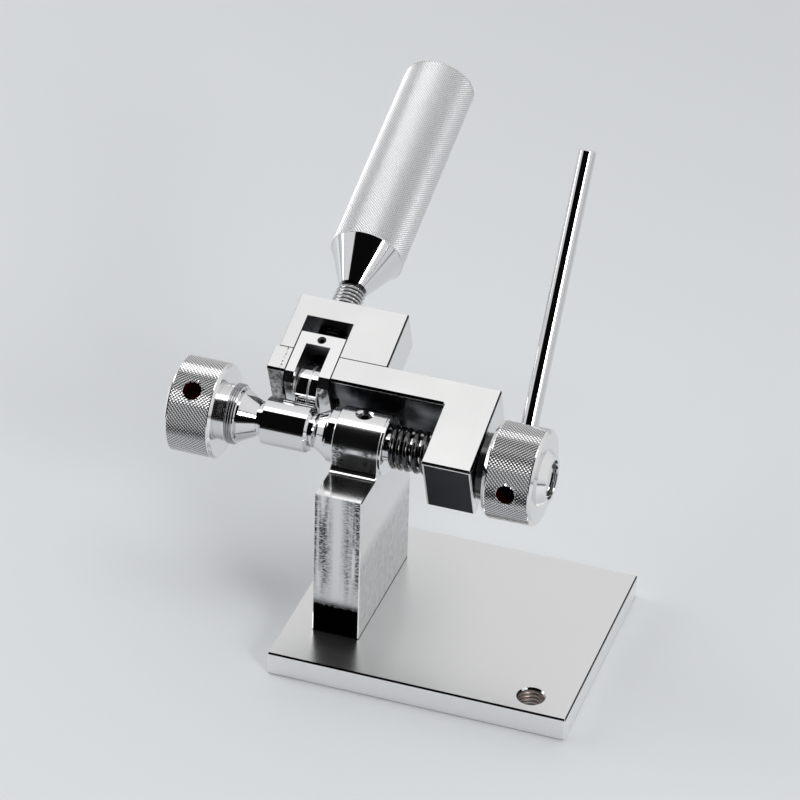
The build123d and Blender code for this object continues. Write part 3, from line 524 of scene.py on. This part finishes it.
# %% Cheek: a rough front and a dotted line by the slot
MOTTLE_SIZE = 1.6 * MM
DOT_SIZE = 0.8 * MM
DOT_LINE_HALF = 0.3 * MM
DOT_LINE_PLACE = 1.9 * MM  # left of the fork

tree = ground_cheek.node_tree
_, height, across, _ = place_in(tree, head_frame)
front = zone(tree, (facing(tree, ahead), *SQUARE_ON))
mottle = add(tree, "ShaderNodeMapRange", {"Value": noise(tree, [MOTTLE_SIZE] * 3), "From Min": 0.4,
                                          "From Max": 0.62})
mottled = add(tree, "ShaderNodeMath", {0: front, 1: mottle.outputs["Result"]}, operation="MULTIPLY")
overlay(tree, front, "#C9CAC9", 0.4)
overlay(tree, mottled.outputs[0], "#7C7E7D", 0.5)
painted_edge_lines(tree, height, (ahead,))
dots = zone(tree, (noise(tree, [DOT_SIZE] * 3, detail=0.0), 0.0, 0.47))
beside = fork_left - DOT_LINE_PLACE
dotted_line = zone(tree, (dots, 0.9, 1.1), (across, beside - DOT_LINE_HALF, beside + DOT_LINE_HALF))
overlay(tree, dotted_line, "#5A5A5B", 0.4)
print("dotted line", round(DOT_LINE_PLACE / MM, 1), "mm from the fork")

# %% Slider: painted shade in lines at its sides and in grey between its arms
SHADE_LINE_WIDTH = 0.45 * MM
SHADE_LINE_COLOUR = "#0E0E10"
LINE_MARGIN = 0.01 * MM

tree = ground_slider.node_tree
along, height, across, _ = place_in(tree, head_frame)
# painted shade: black lines along the slider's sides, where it meets the slot's walls
for low in (fork_left, fork_right - SHADE_LINE_WIDTH):
    line = zone(tree, (across, low - LINE_MARGIN, low + SHADE_LINE_WIDTH + LINE_MARGIN))
    overlay(tree, line, SHADE_LINE_COLOUR, 0.4)
# painted shade: the faces between the fork's arms are painted grey
between = zone(tree, (across, fork_left + SHADE_LINE_WIDTH, fork_right - SHADE_LINE_WIDTH),
               (height, -HEAD_TOP + SKIN, HEAD_TOP - SKIN),
               (along, BRIDGE_FRONT + 0.4 * MM, slider_back - 0.2 * MM))
overlay(tree, between, SLOT_SHADE_GREY, 0.3)
print("oil lines", SHADE_LINE_WIDTH / MM, "mm wide")

# %% [markdown]
# ## The column
#
# The column's front has short ragged ticks, left by the saw and not quite ground away. They
# grow denser towards its edges and break into streaks, and its foot is painted black, a painted
# reflection of the shadow in front. The sides are satin, and cloudy at the bottom. The dark ticks
# are the product of five shares: near an edge, above the foot, in a tick, in a streak, and on the front.

# %% Column: dark ticks on the front
TICK_SIZES = [1.6 * MM, 1.6 * MM, 0.5 * MM]
STREAK_SIZES = [2.5 * MM, 9 * MM, 30 * MM]

tree = ground_column.node_tree
height, across, _, _ = place_in(tree, upright_at_column)
out_of_middle = add(tree, "ShaderNodeMath", {0: across}, operation="ABSOLUTE").outputs[0]
ticks, *others = [
    add(tree, "ShaderNodeMapRange", {"Value": value, "From Min": low, "From Max": high}).outputs["Result"]
    for value, low, high in ((noise(tree, TICK_SIZES), 0.3, 0.58),
                             (noise(tree, STREAK_SIZES, detail=1.0), 0.28, 0.5),
                             (out_of_middle, 1.0 * MM, 5.0 * MM), (height, 22 * MM, 40 * MM))]
front = zone(tree, (facing(tree, FRONT), *SQUARE_ON))
dark = ticks
for share in (*others, front):
    dark = add(tree, "ShaderNodeMath", {0: dark, 1: share}, operation="MULTIPLY").outputs[0]
overlay(tree, dark, "#2C2D2F", 0.3)
print("ticks", TICK_SIZES[2] / MM, "mm high")

# %% Column: a painted reflection on the black foot, and satin sides
FOOT_REFLECTION_TOP = 24.8 * MM
FOOT_RAGGED = 2.0 * MM  # the foot's shade ends up to this much lower where there is a tick
SIDE_CLOUD = 3 * MM
SIDE_CLOUDS_FADE = (50 * MM, 42 * MM)  # heights between which the clouds begin
SEAM = 0.5 * MM

foot = add(tree, "ShaderNodeMath", {0: ticks, 1: FOOT_RAGGED, 2: height}, operation="MULTIPLY_ADD")
# painted reflection: the column's front is painted black up to this height, as if it mirrored the shadow in front
overlay(tree, zone(tree, (foot.outputs[0], 0.0, FOOT_REFLECTION_TOP), (front, 0.9, 1.1)), "#111112", 0.15)
sideways = add(tree, "ShaderNodeMath", {0: facing(tree, RIGHT)}, operation="ABSOLUTE").outputs[0]
side = zone(tree, (sideways, *SQUARE_ON))
overlay(tree, side, "#EDEDED", 0.42)
for value, low, high in ((height, *SIDE_CLOUDS_FADE), (noise(tree, [SIDE_CLOUD] * 3, detail=8.0), 0.1, 0.65)):
    share = add(tree, "ShaderNodeMapRange", {"Value": value, "From Min": low, "From Max": high})
    side = add(tree, "ShaderNodeMath", {0: side, 1: share.outputs["Result"]}, operation="MULTIPLY").outputs[0]
overlay(tree, side, "#C2C3C5", 0.4)
overlay(tree, zone(tree, (height, 0.0, plate_top + SEAM)), "#101011", 0.4)
print("foot dark up to", FOOT_REFLECTION_TOP / MM, "mm")

# %% [markdown]
# ## Turned and polished steel
#
# Shafts, rollers and cones are turned, polished and chrome plated. They mirror sharply, and
# the lathe's faint rings bend the mirror image a little. The rings are a bump that depends on
# the place along the spindle plus the distance from it, so they run round on cylinders, cones
# and flat ends alike.

# %% Turned and polished steel
RING_WIDTH = 0.45 * MM  # lathe rings are finer than this, but they would not show
RING_DEPTH = 0.006 * MM


def turned_steel(name, colour, roughness, spindle, rings=0.06):
    """Chrome over turned steel. The lathe leaves faint rings at equal steps of its outline, so
    the pattern follows the place along the spindle plus the distance from it."""
    material, tree, shader = metal(name, colour, roughness)
    along, _, _, radius = place_in(tree, spindle)
    outline = add(tree, "ShaderNodeMath", {0: along, 1: radius})
    step = add(tree, "ShaderNodeMath", {0: outline.outputs[0], 1: RING_WIDTH}, operation="DIVIDE")
    marks = add(tree, "ShaderNodeTexNoise", {"W": step.outputs[0], "Scale": 1.0, "Detail": 2.0,
                                             "Roughness": 0.5}, noise_dimensions="1D")
    bump = add(tree, "ShaderNodeBump", {"Height": marks.outputs["Fac"], "Strength": rings,
                                        "Distance": RING_DEPTH})
    tree.links.new(bump.outputs["Normal"], shader.inputs["Normal"])
    return material


CHROME = "#E4E4E5"
chrome_on_shaft = turned_steel("polished_chrome_on_shaft", CHROME, 0.035, shaft)
chrome_on_handle = turned_steel("polished_chrome_on_handle", CHROME, 0.04, handle)
washer_chrome = turned_steel("turned_clamp_washer", "#A8A8AA", 0.16, shaft, rings=0.3)
print("rings", RING_WIDTH / MM, "mm wide")

# %% Upper roller, with painted highlights on its rims and its groove
ROLLER_RIM = 0.5 * MM
ROLLER_GROOVE = (4.95 * MM, 5.95 * MM)  # from its left end

upper_spindle = Spindle(joints["upper_roller_spin"]["pos_m"], (1, 0, 0), (0, 1, 0))
upper_chrome = turned_steel("polished_chrome_on_upper_roller", CHROME, 0.035, upper_spindle)
roller_left, roller_right = (corner.x - upper_spindle.origin[0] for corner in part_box("upper_roller"))
tree = upper_chrome.node_tree
along, _, _, _ = place_in(tree, upper_spindle)
# painted highlights: pale lines on both rims and in the groove
for low, high in ((roller_left, roller_left + ROLLER_RIM), (roller_right - ROLLER_RIM, roller_right),
                  [roller_left + edge for edge in ROLLER_GROOVE]):
    overlay(tree, zone(tree, (along, low, high)), PAINTED_HIGHLIGHT_WHITE, 0.42)
print("upper roller", round((roller_right - roller_left) / MM, 1), "mm long")

# %% [markdown]
# ## Cross holes, knurls and threads
#
# A knob's cross holes were drilled through the plating, and their bare walls have rusted brown.
# A zone under the knurled band finds them. The colour of knurls and threads goes from dark in
# the grooves to bright on the crests, with the distance from the spindle's axis.

# %% Knob steel, with bare brown walls in the cross holes
KNOB_COLOUR = "#EDEDED"
HOLE_COLOUR = "#7C2018"
KNOB_WIDTH = {"left_knob": 19.0 * MM, "right_knob": 20.0 * MM}
HOLE_R = 3.7 * MM
HOLE_MASK_R = HOLE_R + 0.15 * MM
BAND_ROOT_R = 18.7 * MM

knob_middle = {name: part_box(name)[0].x + width / 2 for name, width in KNOB_WIDTH.items()}


def knob_steel(name, knob):
    """Turned steel whose cross holes are stained brown: that is wherever a place lies under the
    knurled band and within a hole's width of the knob's middle."""
    material = turned_steel(name, KNOB_COLOUR, 0.12, shaft)
    tree = material.node_tree
    along, _, _, radius = place_in(tree, shaft)
    middle = knob_middle[knob] - shaft_point.x
    holes = zone(tree, (along, middle - HOLE_MASK_R, middle + HOLE_MASK_R),
                 (radius, 0.0, BAND_ROOT_R - 0.1 * MM))
    overlay(tree, holes, HOLE_COLOUR, 0.45)
    return material


knob_finish = {knob: knob_steel(f"turned_{knob}", knob) for knob in KNOB_WIDTH}
print("knob middles at", {name: round(x / MM, 1) for name, x in knob_middle.items()}, "mm")

# %% Cut steel, dark in its grooves
def cut_steel(name, spindle, root, crest, root_colour, crest_colour, roughness):
    """Steel with teeth or ridges. The colour goes evenly from the root's to the crest's, between
    these two distances from the spindle's axis, which are in millimetres."""
    material, tree, shader = metal(name, root_colour, roughness)
    height = add(tree, "ShaderNodeMapRange", {"Value": place_in(tree, spindle)[3], "From Min": root * MM,
                                              "From Max": crest * MM})
    overlay(tree, height.outputs["Result"], crest_colour, roughness)
    return material


knob_knurl_steel = cut_steel("bright_knurl_on_knobs", shaft, 18.7, 18.93, "#262628", "#F6F6F6", 0.14)
grip_knurl_steel = cut_steel("bright_knurl_on_grip", handle, 14.7, 14.95, "#B2B3B5", "#FFFFFF", 0.38)
press_thread = cut_steel("bright_thread_on_handle", handle, 4.95, 5.8, "#2A2A2C", "#DCDCDD", 0.15)
shaft_thread = cut_steel("bright_thread_on_shaft", shaft, 5.3, 5.95, "#2A2A2C", "#E2E2E3", 0.15)
hole_thread = metal("stained_thread_in_plate", "#A08F86", 0.4)[0]

tree = press_thread.node_tree  # painted shade on the part of the pressure screw inside the slot
overlay(tree, zone(tree, (place_in(tree, handle)[0], 0.0, SLOT_END)), "#29292B", 0.2)
print("knurls and threads ready")

# %% [markdown]
# ## Blackened and hidden metals
#
# The spring, the dished washers and the screws are blackened in hot oil. What is left is nearly
# black, barely metallic, and shines from the film of oil, which is the shader's coat. The bush
# is bronze and the pins are ground steel.

# %% Blackened and hidden metals
def blackened_steel(name, colour, roughness, coat):
    """Oil-blackened steel: nearly black metal under a thin film of oil that shines."""
    material, tree, shader = metal(name, colour, roughness, metallic=0.1)
    shader.inputs["Coat Weight"].default_value = coat
    shader.inputs["Coat Roughness"].default_value = 0.05
    rough = add(tree, "ShaderNodeMapRange", {"Value": noise(tree, [1.5 * MM] * 3), "To Min": roughness * 0.7,
                                             "To Max": roughness * 1.4})
    tree.links.new(rough.outputs["Result"], shader.inputs["Roughness"])
    return material


spring_black = blackened_steel("oil_blackened_spring", "#050506", 0.08, 1.0)
washer_black = blackened_steel("blackened_dished_washer", "#232428", 0.2, 0.4)
screw_black = blackened_steel("black_oxide_screw", "#0C0C0E", 0.3, 0.2)
bronze = turned_steel("turned_bronze", "#B98A52", 0.22, shaft)
pin_ground = turned_steel("ground_pin", "#BFC0C1", 0.15, shaft)
print("other metals ready")

# %% [markdown]
# ## Every solid gets its finish
#
# The construction model's solids have the right shapes already, so they only need materials.
# A table from piece to finish keeps that in one place.

# %% Finishes on the solids
FINISH = {
    ground_plate: ["base_plate"],
    ground_column: ["column"],
    ground_head: ["head_arm", "head_block"],
    ground_cheek: ["side_cheek"],
    ground_slider: ["slider"],
    chrome_on_shaft: ["main_shaft", "lower_roller", "clamping_cone", "thrust_washer", "tommy_bar"],
    washer_chrome: ["clamp_washers"],
    upper_chrome: ["upper_roller"],
    chrome_on_handle: ["pressure_screw", "handle_grip"],
    knob_finish["left_knob"]: ["left_knob"],
    knob_finish["right_knob"]: ["right_knob"],
    spring_black: ["spring"],
    washer_black: ["dished_washers"],
    screw_black: ["column_screws", "boss_grub_screw", "head_screws", "retaining_screw"],
    bronze: ["arm_bush"],
    pin_ground: ["head_dowels", "roller_axle"],
}
for material, names in FINISH.items():
    for name in names:
        for slot in nodes[name].material_slots:
            slot.material = material
print("finished", sum(len(names) for names in FINISH.values()), "of", len(nodes), "solids")

# %% [markdown]
# ## Surfaces from grids
#
# A knurl, a thread and a coil are each a surface over two parameters: how far along and how
# far round. Such a surface is a grid of points that wraps round, and two triangles fill each
# of its cells. Which way a cell is split matters: across a groove the edge must lie in the
# groove, so each cell is split between its two lower corners.

# %% Triangles of a grid
def grid_triangles(heights, close_rows):
    """Triangles of a grid of rows x columns that wraps along its columns, and along its rows if
    close_rows. A cell's diagonal joins the pair of opposite corners with the lower height."""
    rows, columns = heights.shape
    a = np.arange(rows * columns).reshape(rows, columns)
    b = np.roll(a, -1, axis=1)
    c = np.roll(b, -1, axis=0)
    d = np.roll(a, -1, axis=0)
    if not close_rows:
        a, b, c, d = a[:-1], b[:-1], c[:-1], d[:-1]
    height = heights.ravel()
    low_ac = (height[a] + height[c] < height[b] + height[d])[..., None]
    first = np.where(low_ac, np.stack([a, b, c], -1), np.stack([a, b, d], -1))
    second = np.where(low_ac, np.stack([a, c, d], -1), np.stack([b, c, d], -1))
    return np.concatenate([first.reshape(-1, 3), second.reshape(-1, 3)])


print("a grid of 3 x 4 points has", len(grid_triangles(np.zeros((3, 4)), False)), "triangles")

# %% Closed rods and shells
def closed_rod(grid, heights):
    """A rod's surface from a grid of rings, with a point in the middle of each end."""
    rows, columns = heights.shape
    ring = np.arange(columns)
    after = np.roll(ring, -1)
    start, end = rows * columns, rows * columns + 1
    last = (rows - 1) * columns
    caps = [np.stack([np.full(columns, start), after, ring], -1),
            np.stack([np.full(columns, end), last + ring, last + after], -1)]
    points = np.concatenate([grid.reshape(-1, 3), grid[0].mean(0)[None], grid[-1].mean(0)[None]])
    return points, np.concatenate([grid_triangles(heights, False), *caps])


def closed_shell(outer, inner, triangles):
    """A wall between two skins with the same triangles: the inner skin is turned round, and a
    strip joins the skins along each edge that belongs to one triangle only."""
    count = len(outer)
    edges = np.concatenate([triangles[:, [0, 1]], triangles[:, [1, 2]], triangles[:, [2, 0]]])
    rim = edges[~np.isin(edges[:, 0] * count + edges[:, 1], edges[:, 1] * count + edges[:, 0])]
    a, b = rim.T
    strip = np.concatenate([np.stack([b, a, a + count], -1), np.stack([b, a + count, b + count], -1)])
    everything = np.concatenate([triangles, triangles[:, ::-1] + count, strip])
    used, numbers = np.unique(everything, return_inverse=True)
    return np.concatenate([outer, inner])[used], numbers.reshape(-1, 3)


print("a rod of 3 rings of 4 has", len(closed_rod(np.zeros((3, 4, 3)), np.zeros((3, 4)))[1]), "triangles")

# %% A piece in the scene
def add_piece(name, points, triangles, material, slot, body, crease=None):
    """Puts a surface into the scene as a piece that rides on a body. With a crease angle it is
    shaded smooth, but for edges sharper than that; without one every facet shows."""
    mesh = bpy.data.meshes.new(name)
    mesh.vertices.add(len(points))
    mesh.vertices.foreach_set("co", np.asarray(points, np.float32).ravel())
    mesh.loops.add(triangles.size)
    mesh.loops.foreach_set("vertex_index", triangles.astype(np.int32).ravel())
    mesh.polygons.add(len(triangles))
    mesh.polygons.foreach_set("loop_start", np.arange(0, triangles.size, 3, dtype=np.int32))
    mesh.update(calc_edges=True)
    mesh.validate()
    if crease is None:
        mesh.shade_flat()
    else:
        mesh.shade_smooth()
        mesh.set_sharp_from_angle(angle=crease)
    mesh.materials.append(material)
    piece = bpy.data.objects.new(name, mesh)
    bpy.context.scene.collection.objects.link(piece)
    if body:
        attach(piece, body)
    print(name, "has", len(triangles), "triangles")
    return piece


print("pieces so far:", len(bpy.data.meshes))

# %% [markdown]
# ## Knurls
#
# A knurling tool rolls two crossing sets of grooves into the steel, which leaves rows of small
# pyramids. Bump alone would leave a smooth outline and the wrong sparkle, so each tooth is
# real: every second point of a grid is a tooth's tip, and the points between them are where
# two grooves cross. Round a knob the bar's holes are cut through the band.

# %% Grid of a knurl
KNURL_DEPTH = 0.3 * MM
SKIN_DEPTH = 0.2 * MM  # how far a band's inner skin lies under the grooves
GROOVE_LIFT = 0.03 * MM  # the grooves stay just above the solid's own surface


def knurl_grid(start, end, crest, teeth):
    """Place along, radius and angle of a knurl's points, on a grid of half a tooth. With the row
    and column counted from zero, the radius is the crest's where their sum is even, and the
    root's elsewhere."""
    half_tooth = pi * crest / teeth
    rows = 2 * round((end - start) / half_tooth / 2) + 1
    row, column = np.meshgrid(np.arange(rows), np.arange(2 * teeth), indexing="ij")
    along = start + (end - start) * row / (rows - 1)
    root = crest - KNURL_DEPTH + GROOVE_LIFT
    return along, np.where((row + column) % 2 == 0, crest, root), pi * column / teeth


print("knurls", KNURL_DEPTH / MM, "mm deep")

# %% Knurled bands, with round holes and without
def holed_band(spindle, start, end, crest, teeth, middle, hole_angles):
    """A knurled band with round holes. A place on the band lies (along - middle, radius * sin(angle
    - hole angle)) from a hole's middle. Triangles inside a hole go, and the points on the edge
    that is left are drawn to the hole's circle."""
    along, radius, angle = (part.ravel() for part in knurl_grid(start, end, crest, teeth))
    rows = len(along) // (2 * teeth)
    triangles = grid_triangles(radius.reshape(rows, 2 * teeth), False)
    rim_r = HOLE_R + 0.05 * MM
    for hole in hole_angles:
        x = along - middle
        y = np.where(np.cos(angle - hole) > 0, radius * np.sin(angle - hole), crest)
        outside = np.hypot(x[triangles].mean(1), y[triangles].mean(1)) > HOLE_R
        edge = np.intersect1d(triangles[outside], triangles[~outside])
        triangles = triangles[outside]
        pull = rim_r / np.hypot(x[edge], y[edge])
        along[edge] = middle + x[edge] * pull
        angle[edge] = hole + np.arcsin(y[edge] * pull / radius[edge])
    inner_r = crest - KNURL_DEPTH - SKIN_DEPTH
    skins = [spindle.points(along, r, angle) for r in (radius, inner_r)]
    return closed_shell(*skins, triangles)


def plain_band(spindle, start, end, crest, teeth):
    """A knurled band with no holes, closed inside by two plain rings."""
    along, radius, angle = knurl_grid(start, end, crest, teeth)
    inner_r = crest - KNURL_DEPTH - SKIN_DEPTH
    along = np.concatenate([along, along[[-1, 0]]])
    angle = np.concatenate([angle, angle[[-1, 0]]])
    radius = np.concatenate([radius, np.full_like(radius[:2], inner_r)])
    return spindle.points(along, radius, angle).reshape(-1, 3), grid_triangles(radius, True)


print("a band's inner skin lies", round((KNURL_DEPTH + SKIN_DEPTH) / MM, 2), "mm under its tips")

# %% Bands of the two knobs
KNOB_CREST = 19.0 * MM
KNOB_TEETH = 80
RIM = 0.4 * MM  # plain ring at each end of a band
KNOB_BEVELS = {"left_knob": (1.0 * MM, 1.0 * MM), "right_knob": (1.5 * MM, 1.0 * MM)}
LEFT_HOLE_ANGLE = radians(9)

bar_axis = joints["tommy_bar_slide"]["axis"]
first_hole = {"left_knob": LEFT_HOLE_ANGLE, "right_knob": atan2(bar_axis[2], bar_axis[1])}
for knob, width in KNOB_WIDTH.items():
    left_bevel, right_bevel = KNOB_BEVELS[knob]
    left = knob_middle[knob] - width / 2 + left_bevel + RIM
    right = knob_middle[knob] + width / 2 - right_bevel - RIM
    holes = [first_hole[knob] + turn * 2 * pi / 3 for turn in range(3)]
    left, right, middle = (x - shaft_point.x for x in (left, right, knob_middle[knob]))
    band = holed_band(shaft, left, right, KNOB_CREST, KNOB_TEETH, middle, holes)
    add_piece(f"{knob}_knurl", *band, knob_knurl_steel, "knurled_steel", knob)

# %% Band of the grip
GRIP_CREST = 15.0 * MM
GRIP_TEETH = 80
GRIP_CONE_LENGTH = 17.5 * MM
GRIP_END_BEVEL = 1.4 * MM

grip_start, grip_end, _ = handle.reach("handle_grip")
band = plain_band(handle, grip_start + GRIP_CONE_LENGTH + RIM, grip_end - GRIP_END_BEVEL - RIM,
                  GRIP_CREST, GRIP_TEETH)
add_piece("grip_knurl", *band, grip_knurl_steel, "knurled_steel", "handle")

# %% [markdown]
# ## The fork's tips
#
# The two arms of the fork end in tips that stand a little out of the head and are bevelled
# above and below. Cutting the bevels into the solid would mean changing the construction
# model, so each tip is a prism of its own, set against the arm.

# %% Fork tips
TIP_REACH = 3.2 * MM
TIP_HALF = HEAD_TOP - TIP_REACH
LEFT_ARM_W = 4.1 * MM
FORK_GAP_W = 10.0 * MM

outline = np.array([(0, HEAD_TOP), (-TIP_REACH, TIP_HALF), (-TIP_REACH, -TIP_HALF), (0, -HEAD_TOP)])
corner_pairs = [(i, (i + 1) % 4) for i in range(4)]
prism = np.array([(0, 2, 1), (0, 3, 2), (4, 5, 6), (4, 6, 7)]
                 + [(i, j + 4, i + 4) for i, j in corner_pairs] + [(i, j, j + 4) for i, j in corner_pairs])
face = (head_frame.origin + (BRIDGE_FRONT + outline[:, :1]) * head_frame.axis
        + outline[:, 1:] * head_frame.side)
arm_faces = (fork_left, fork_left + LEFT_ARM_W, fork_left + LEFT_ARM_W + FORK_GAP_W, fork_right)
points = np.concatenate([face + x * head_frame.rise for x in arm_faces])
add_piece("fork_tips", points, np.concatenate([prism, prism + 8]), ground_slider, "ground_steel", "slider")

# %% [markdown]
# ## Threads
#
# The construction model draws a thread as a plain cylinder at its pitch line. A ridge could be
# carried along a helix, but it would have to be joined to the core. Here the whole rod is one
# surface: its radius depends on how far a point lies from the nearest crest, and the crest
# climbs one pitch in a turn, clockwise as seen from the head of the screw.

# %% Thread form
M12_PITCH = 1.75 * MM
CREASE = radians(40)  # sharper edges stay sharp in smooth shading
M12_CREST_R = 6.0 * MM
M12_ROOT_R = M12_CREST_R - 0.6134 * M12_PITCH
CREST_HALF = 1 / 16  # half the crest's flat, in pitches
ROOT_START = 3 / 8  # where the root's flat begins, in pitches from the crest's middle


def ridge(along, angle):
    """1 on the crest and 0 in the root. With u = along / pitch - angle / (2 pi), the distance from
    the crest is d = |u - round(u)| pitches, and the height falls evenly from d = 1/16 to 3/8."""
    climb = along / M12_PITCH - angle / (2 * pi)
    distance = np.abs(climb - np.round(climb))
    return np.clip((ROOT_START - distance) / (ROOT_START - CREST_HALF), 0, 1)


def thread_step(start, end):
    """Stations along a thread, sixteen to a pitch."""
    return np.linspace(start, end, round(16 * (end - start) / M12_PITCH) + 1)


print("thread depth", round((M12_CREST_R - M12_ROOT_R) / MM, 2), "mm")

# %% Outline of the pressure screw
UNDERCUT_R = 5.0 * MM
UNDERCUT_W = 1.5 * MM
NOSE_R = 4.0 * MM
NOSE_GROOVE_R = 2.6 * MM
NOSE_GROOVE_W = 3.75 * MM
END_GAP = 0.1 * MM
SCREW_SIDES = 96

screw_start, screw_end, _ = handle.reach("pressure_screw")
thread_from = slider_back + END_GAP
thread_to = grip_start - UNDERCUT_W
nose_middle = (screw_start - END_GAP + slider_back) / 2
groove_from, groove_to = nose_middle - NOSE_GROOVE_W / 2, nose_middle + NOSE_GROOVE_W / 2
thread_places = thread_step(thread_from, thread_to)
along = np.concatenate([[screw_start, groove_from, groove_from, groove_to, groove_to, thread_from],
                        thread_places, [thread_to, screw_end]])
plain = np.concatenate([[NOSE_R, NOSE_R, NOSE_GROOVE_R, NOSE_GROOVE_R, NOSE_R, NOSE_R],
                        np.full(len(thread_places), np.nan), [UNDERCUT_R, UNDERCUT_R]])
print("thread from", round(thread_from / MM, 1), "to", round(thread_to / MM, 1), "mm behind the shaft")

# %% Pressure screw
angle = np.arange(SCREW_SIDES) * 2 * pi / SCREW_SIDES
along, angle = np.meshgrid(along, angle, indexing="ij")
cut = M12_ROOT_R + (M12_CREST_R - M12_ROOT_R) * ridge(along, angle)
lead = np.minimum(along - thread_from, thread_to - along) + UNDERCUT_R  # bevel at both ends
radius = np.where(np.isnan(plain)[:, None], np.minimum(cut, lead), plain[:, None])
screw = add_piece("threaded_pressure_screw", *closed_rod(handle.points(along, radius, angle), radius),
                  press_thread, "polished_steel", "handle", crease=CREASE)
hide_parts("pressure_screw")

# %% Thread rings
THREAD_SIDES = 64


def thread_ring(spindle, start, end, base, rise, bevel):
    """A sleeve with a thread outside, or inside where rise is negative. The radius is base + rise *
    ridge, and falls to base at both ends over the bevel's length."""
    along, angle = np.meshgrid(thread_step(start, end), np.arange(THREAD_SIDES) * 2 * pi / THREAD_SIDES,
                               indexing="ij")
    fade = np.clip(np.minimum(along - start, end - along) / bevel, 0, 1)
    radius = base + rise * fade * ridge(along, angle)
    back = base - np.sign(rise) * SKIN_DEPTH
    along = np.concatenate([along, along[[-1, 0]]])
    angle = np.concatenate([angle, angle[[-1, 0]]])
    radius = np.concatenate([radius, np.full_like(radius[:2], back)])
    triangles = grid_triangles(radius, True)
    if rise < 0:
        triangles = triangles[:, ::-1]
    return spindle.points(along, radius, angle).reshape(-1, 3), triangles


print("thread rings have", THREAD_SIDES, "sides")

# %% Threads on the shaft's end and in the plate's holes
SHAFT_THREAD_ROOT = 5.3 * MM
SHAFT_THREAD_RIDGE = 0.7 * MM
SHAFT_THREAD_START = 4 * MM  # right of the arm's bush
TAPPED_WALL_R = 5.1 * MM
TAPPED_RIDGE = 0.35 * MM
TAPPED_INSET = 0.7 * MM  # the thread keeps clear of the hole's bevels
_, arm_right, _ = shaft.reach("arm_bush")
_, shaft_end, _ = shaft.reach("main_shaft")
ring = thread_ring(shaft, arm_right + SHAFT_THREAD_START, shaft_end - END_GAP, SHAFT_THREAD_ROOT,
                   SHAFT_THREAD_RIDGE, 0.8 * MM)
add_piece("shaft_end_thread", *ring, shaft_thread, "polished_steel", "stand", crease=CREASE)

plate_low, plate_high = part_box("base_plate")
for mount in frame["record"]["mounts"]:
    if mount["kind"] == "threaded_hole":
        x, y, _ = mount["pos_m"]
        upright_spindle = Spindle((x, y, 0), (0, 0, 1), (1, 0, 0))
        ring = thread_ring(upright_spindle, plate_low.z + TAPPED_INSET, plate_high.z - TAPPED_INSET,
                           TAPPED_WALL_R, -TAPPED_RIDGE, 0.6 * MM)
        add_piece(f"{mount['name']}_thread", *ring, hole_thread, "polished_steel", "stand", crease=CREASE)

# %% [markdown]
# ## The spring
#
# The spring is one round wire wound round the shaft, close at the washer, open in the middle
# and close again at the arm. A screw modifier would give one climb only, so its line is worked
# out: a helix whose climb changes along the way, with a circle carried along it. When the head
# is shifted the spring is squeezed.

# %% Spring wire
WIRE_R = 1.1 * MM
CLOSE_PITCH = 2.65 * MM
CLOSE_TURNS, OPEN_TURNS, END_TURNS = 2.25, 2.25, 0.5
PITCH_BLEND = 0.12  # turns over which the climb changes from close to open
WIRE_SIDES = 16
STEPS_PER_TURN = 64

spring_low, spring_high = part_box("spring")
coil_r = spring_high.y - shaft_point.y - WIRE_R
turns = np.linspace(0, CLOSE_TURNS + OPEN_TURNS + END_TURNS,
                    round(STEPS_PER_TURN * (CLOSE_TURNS + OPEN_TURNS + END_TURNS)) + 1)
open_share = (np.tanh((turns - CLOSE_TURNS) / PITCH_BLEND)
              - np.tanh((turns - CLOSE_TURNS - OPEN_TURNS) / PITCH_BLEND)) / 2
step = turns[1]
climbs = np.concatenate([[0], np.cumsum((open_share[1:] + open_share[:-1]) / 2 * step)])
travel = spring_high.x - spring_low.x - 2 * WIRE_R
open_extra = (travel - CLOSE_PITCH * turns[-1]) / climbs[-1]
line_x = spring_low.x + WIRE_R - shaft_point.x + CLOSE_PITCH * turns + open_extra * climbs
turn_angle = 2 * pi * turns
line = shaft.points(line_x, coil_r, turn_angle)
heading = np.gradient(line, axis=0)
heading /= np.linalg.norm(heading, axis=1, keepdims=True)
outwards = shaft.points(np.zeros_like(turns), 1.0, turn_angle) - shaft.origin
beside = np.cross(heading, outwards)
beside /= np.linalg.norm(beside, axis=1, keepdims=True)
outwards = np.cross(beside, heading)
around = np.arange(WIRE_SIDES) * 2 * pi / WIRE_SIDES
rings = (line[:, None] + WIRE_R * (np.cos(around)[:, None] * outwards[:, None]
                                   + np.sin(around)[:, None] * beside[:, None]))
coil = add_piece("spring_coil", *closed_rod(rings, np.zeros(rings.shape[:2])), spring_black,
                 "black_spring_steel", None, crease=radians(50))
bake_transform(coil)
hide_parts("spring")
print("coil radius", round(coil_r / MM, 2), "mm, open pitch", round((CLOSE_PITCH + open_extra) / MM, 2), "mm")

# %% [markdown]
# ## The end
#
# The last cell ends the scene.

# %% The end
print("the scene ends")
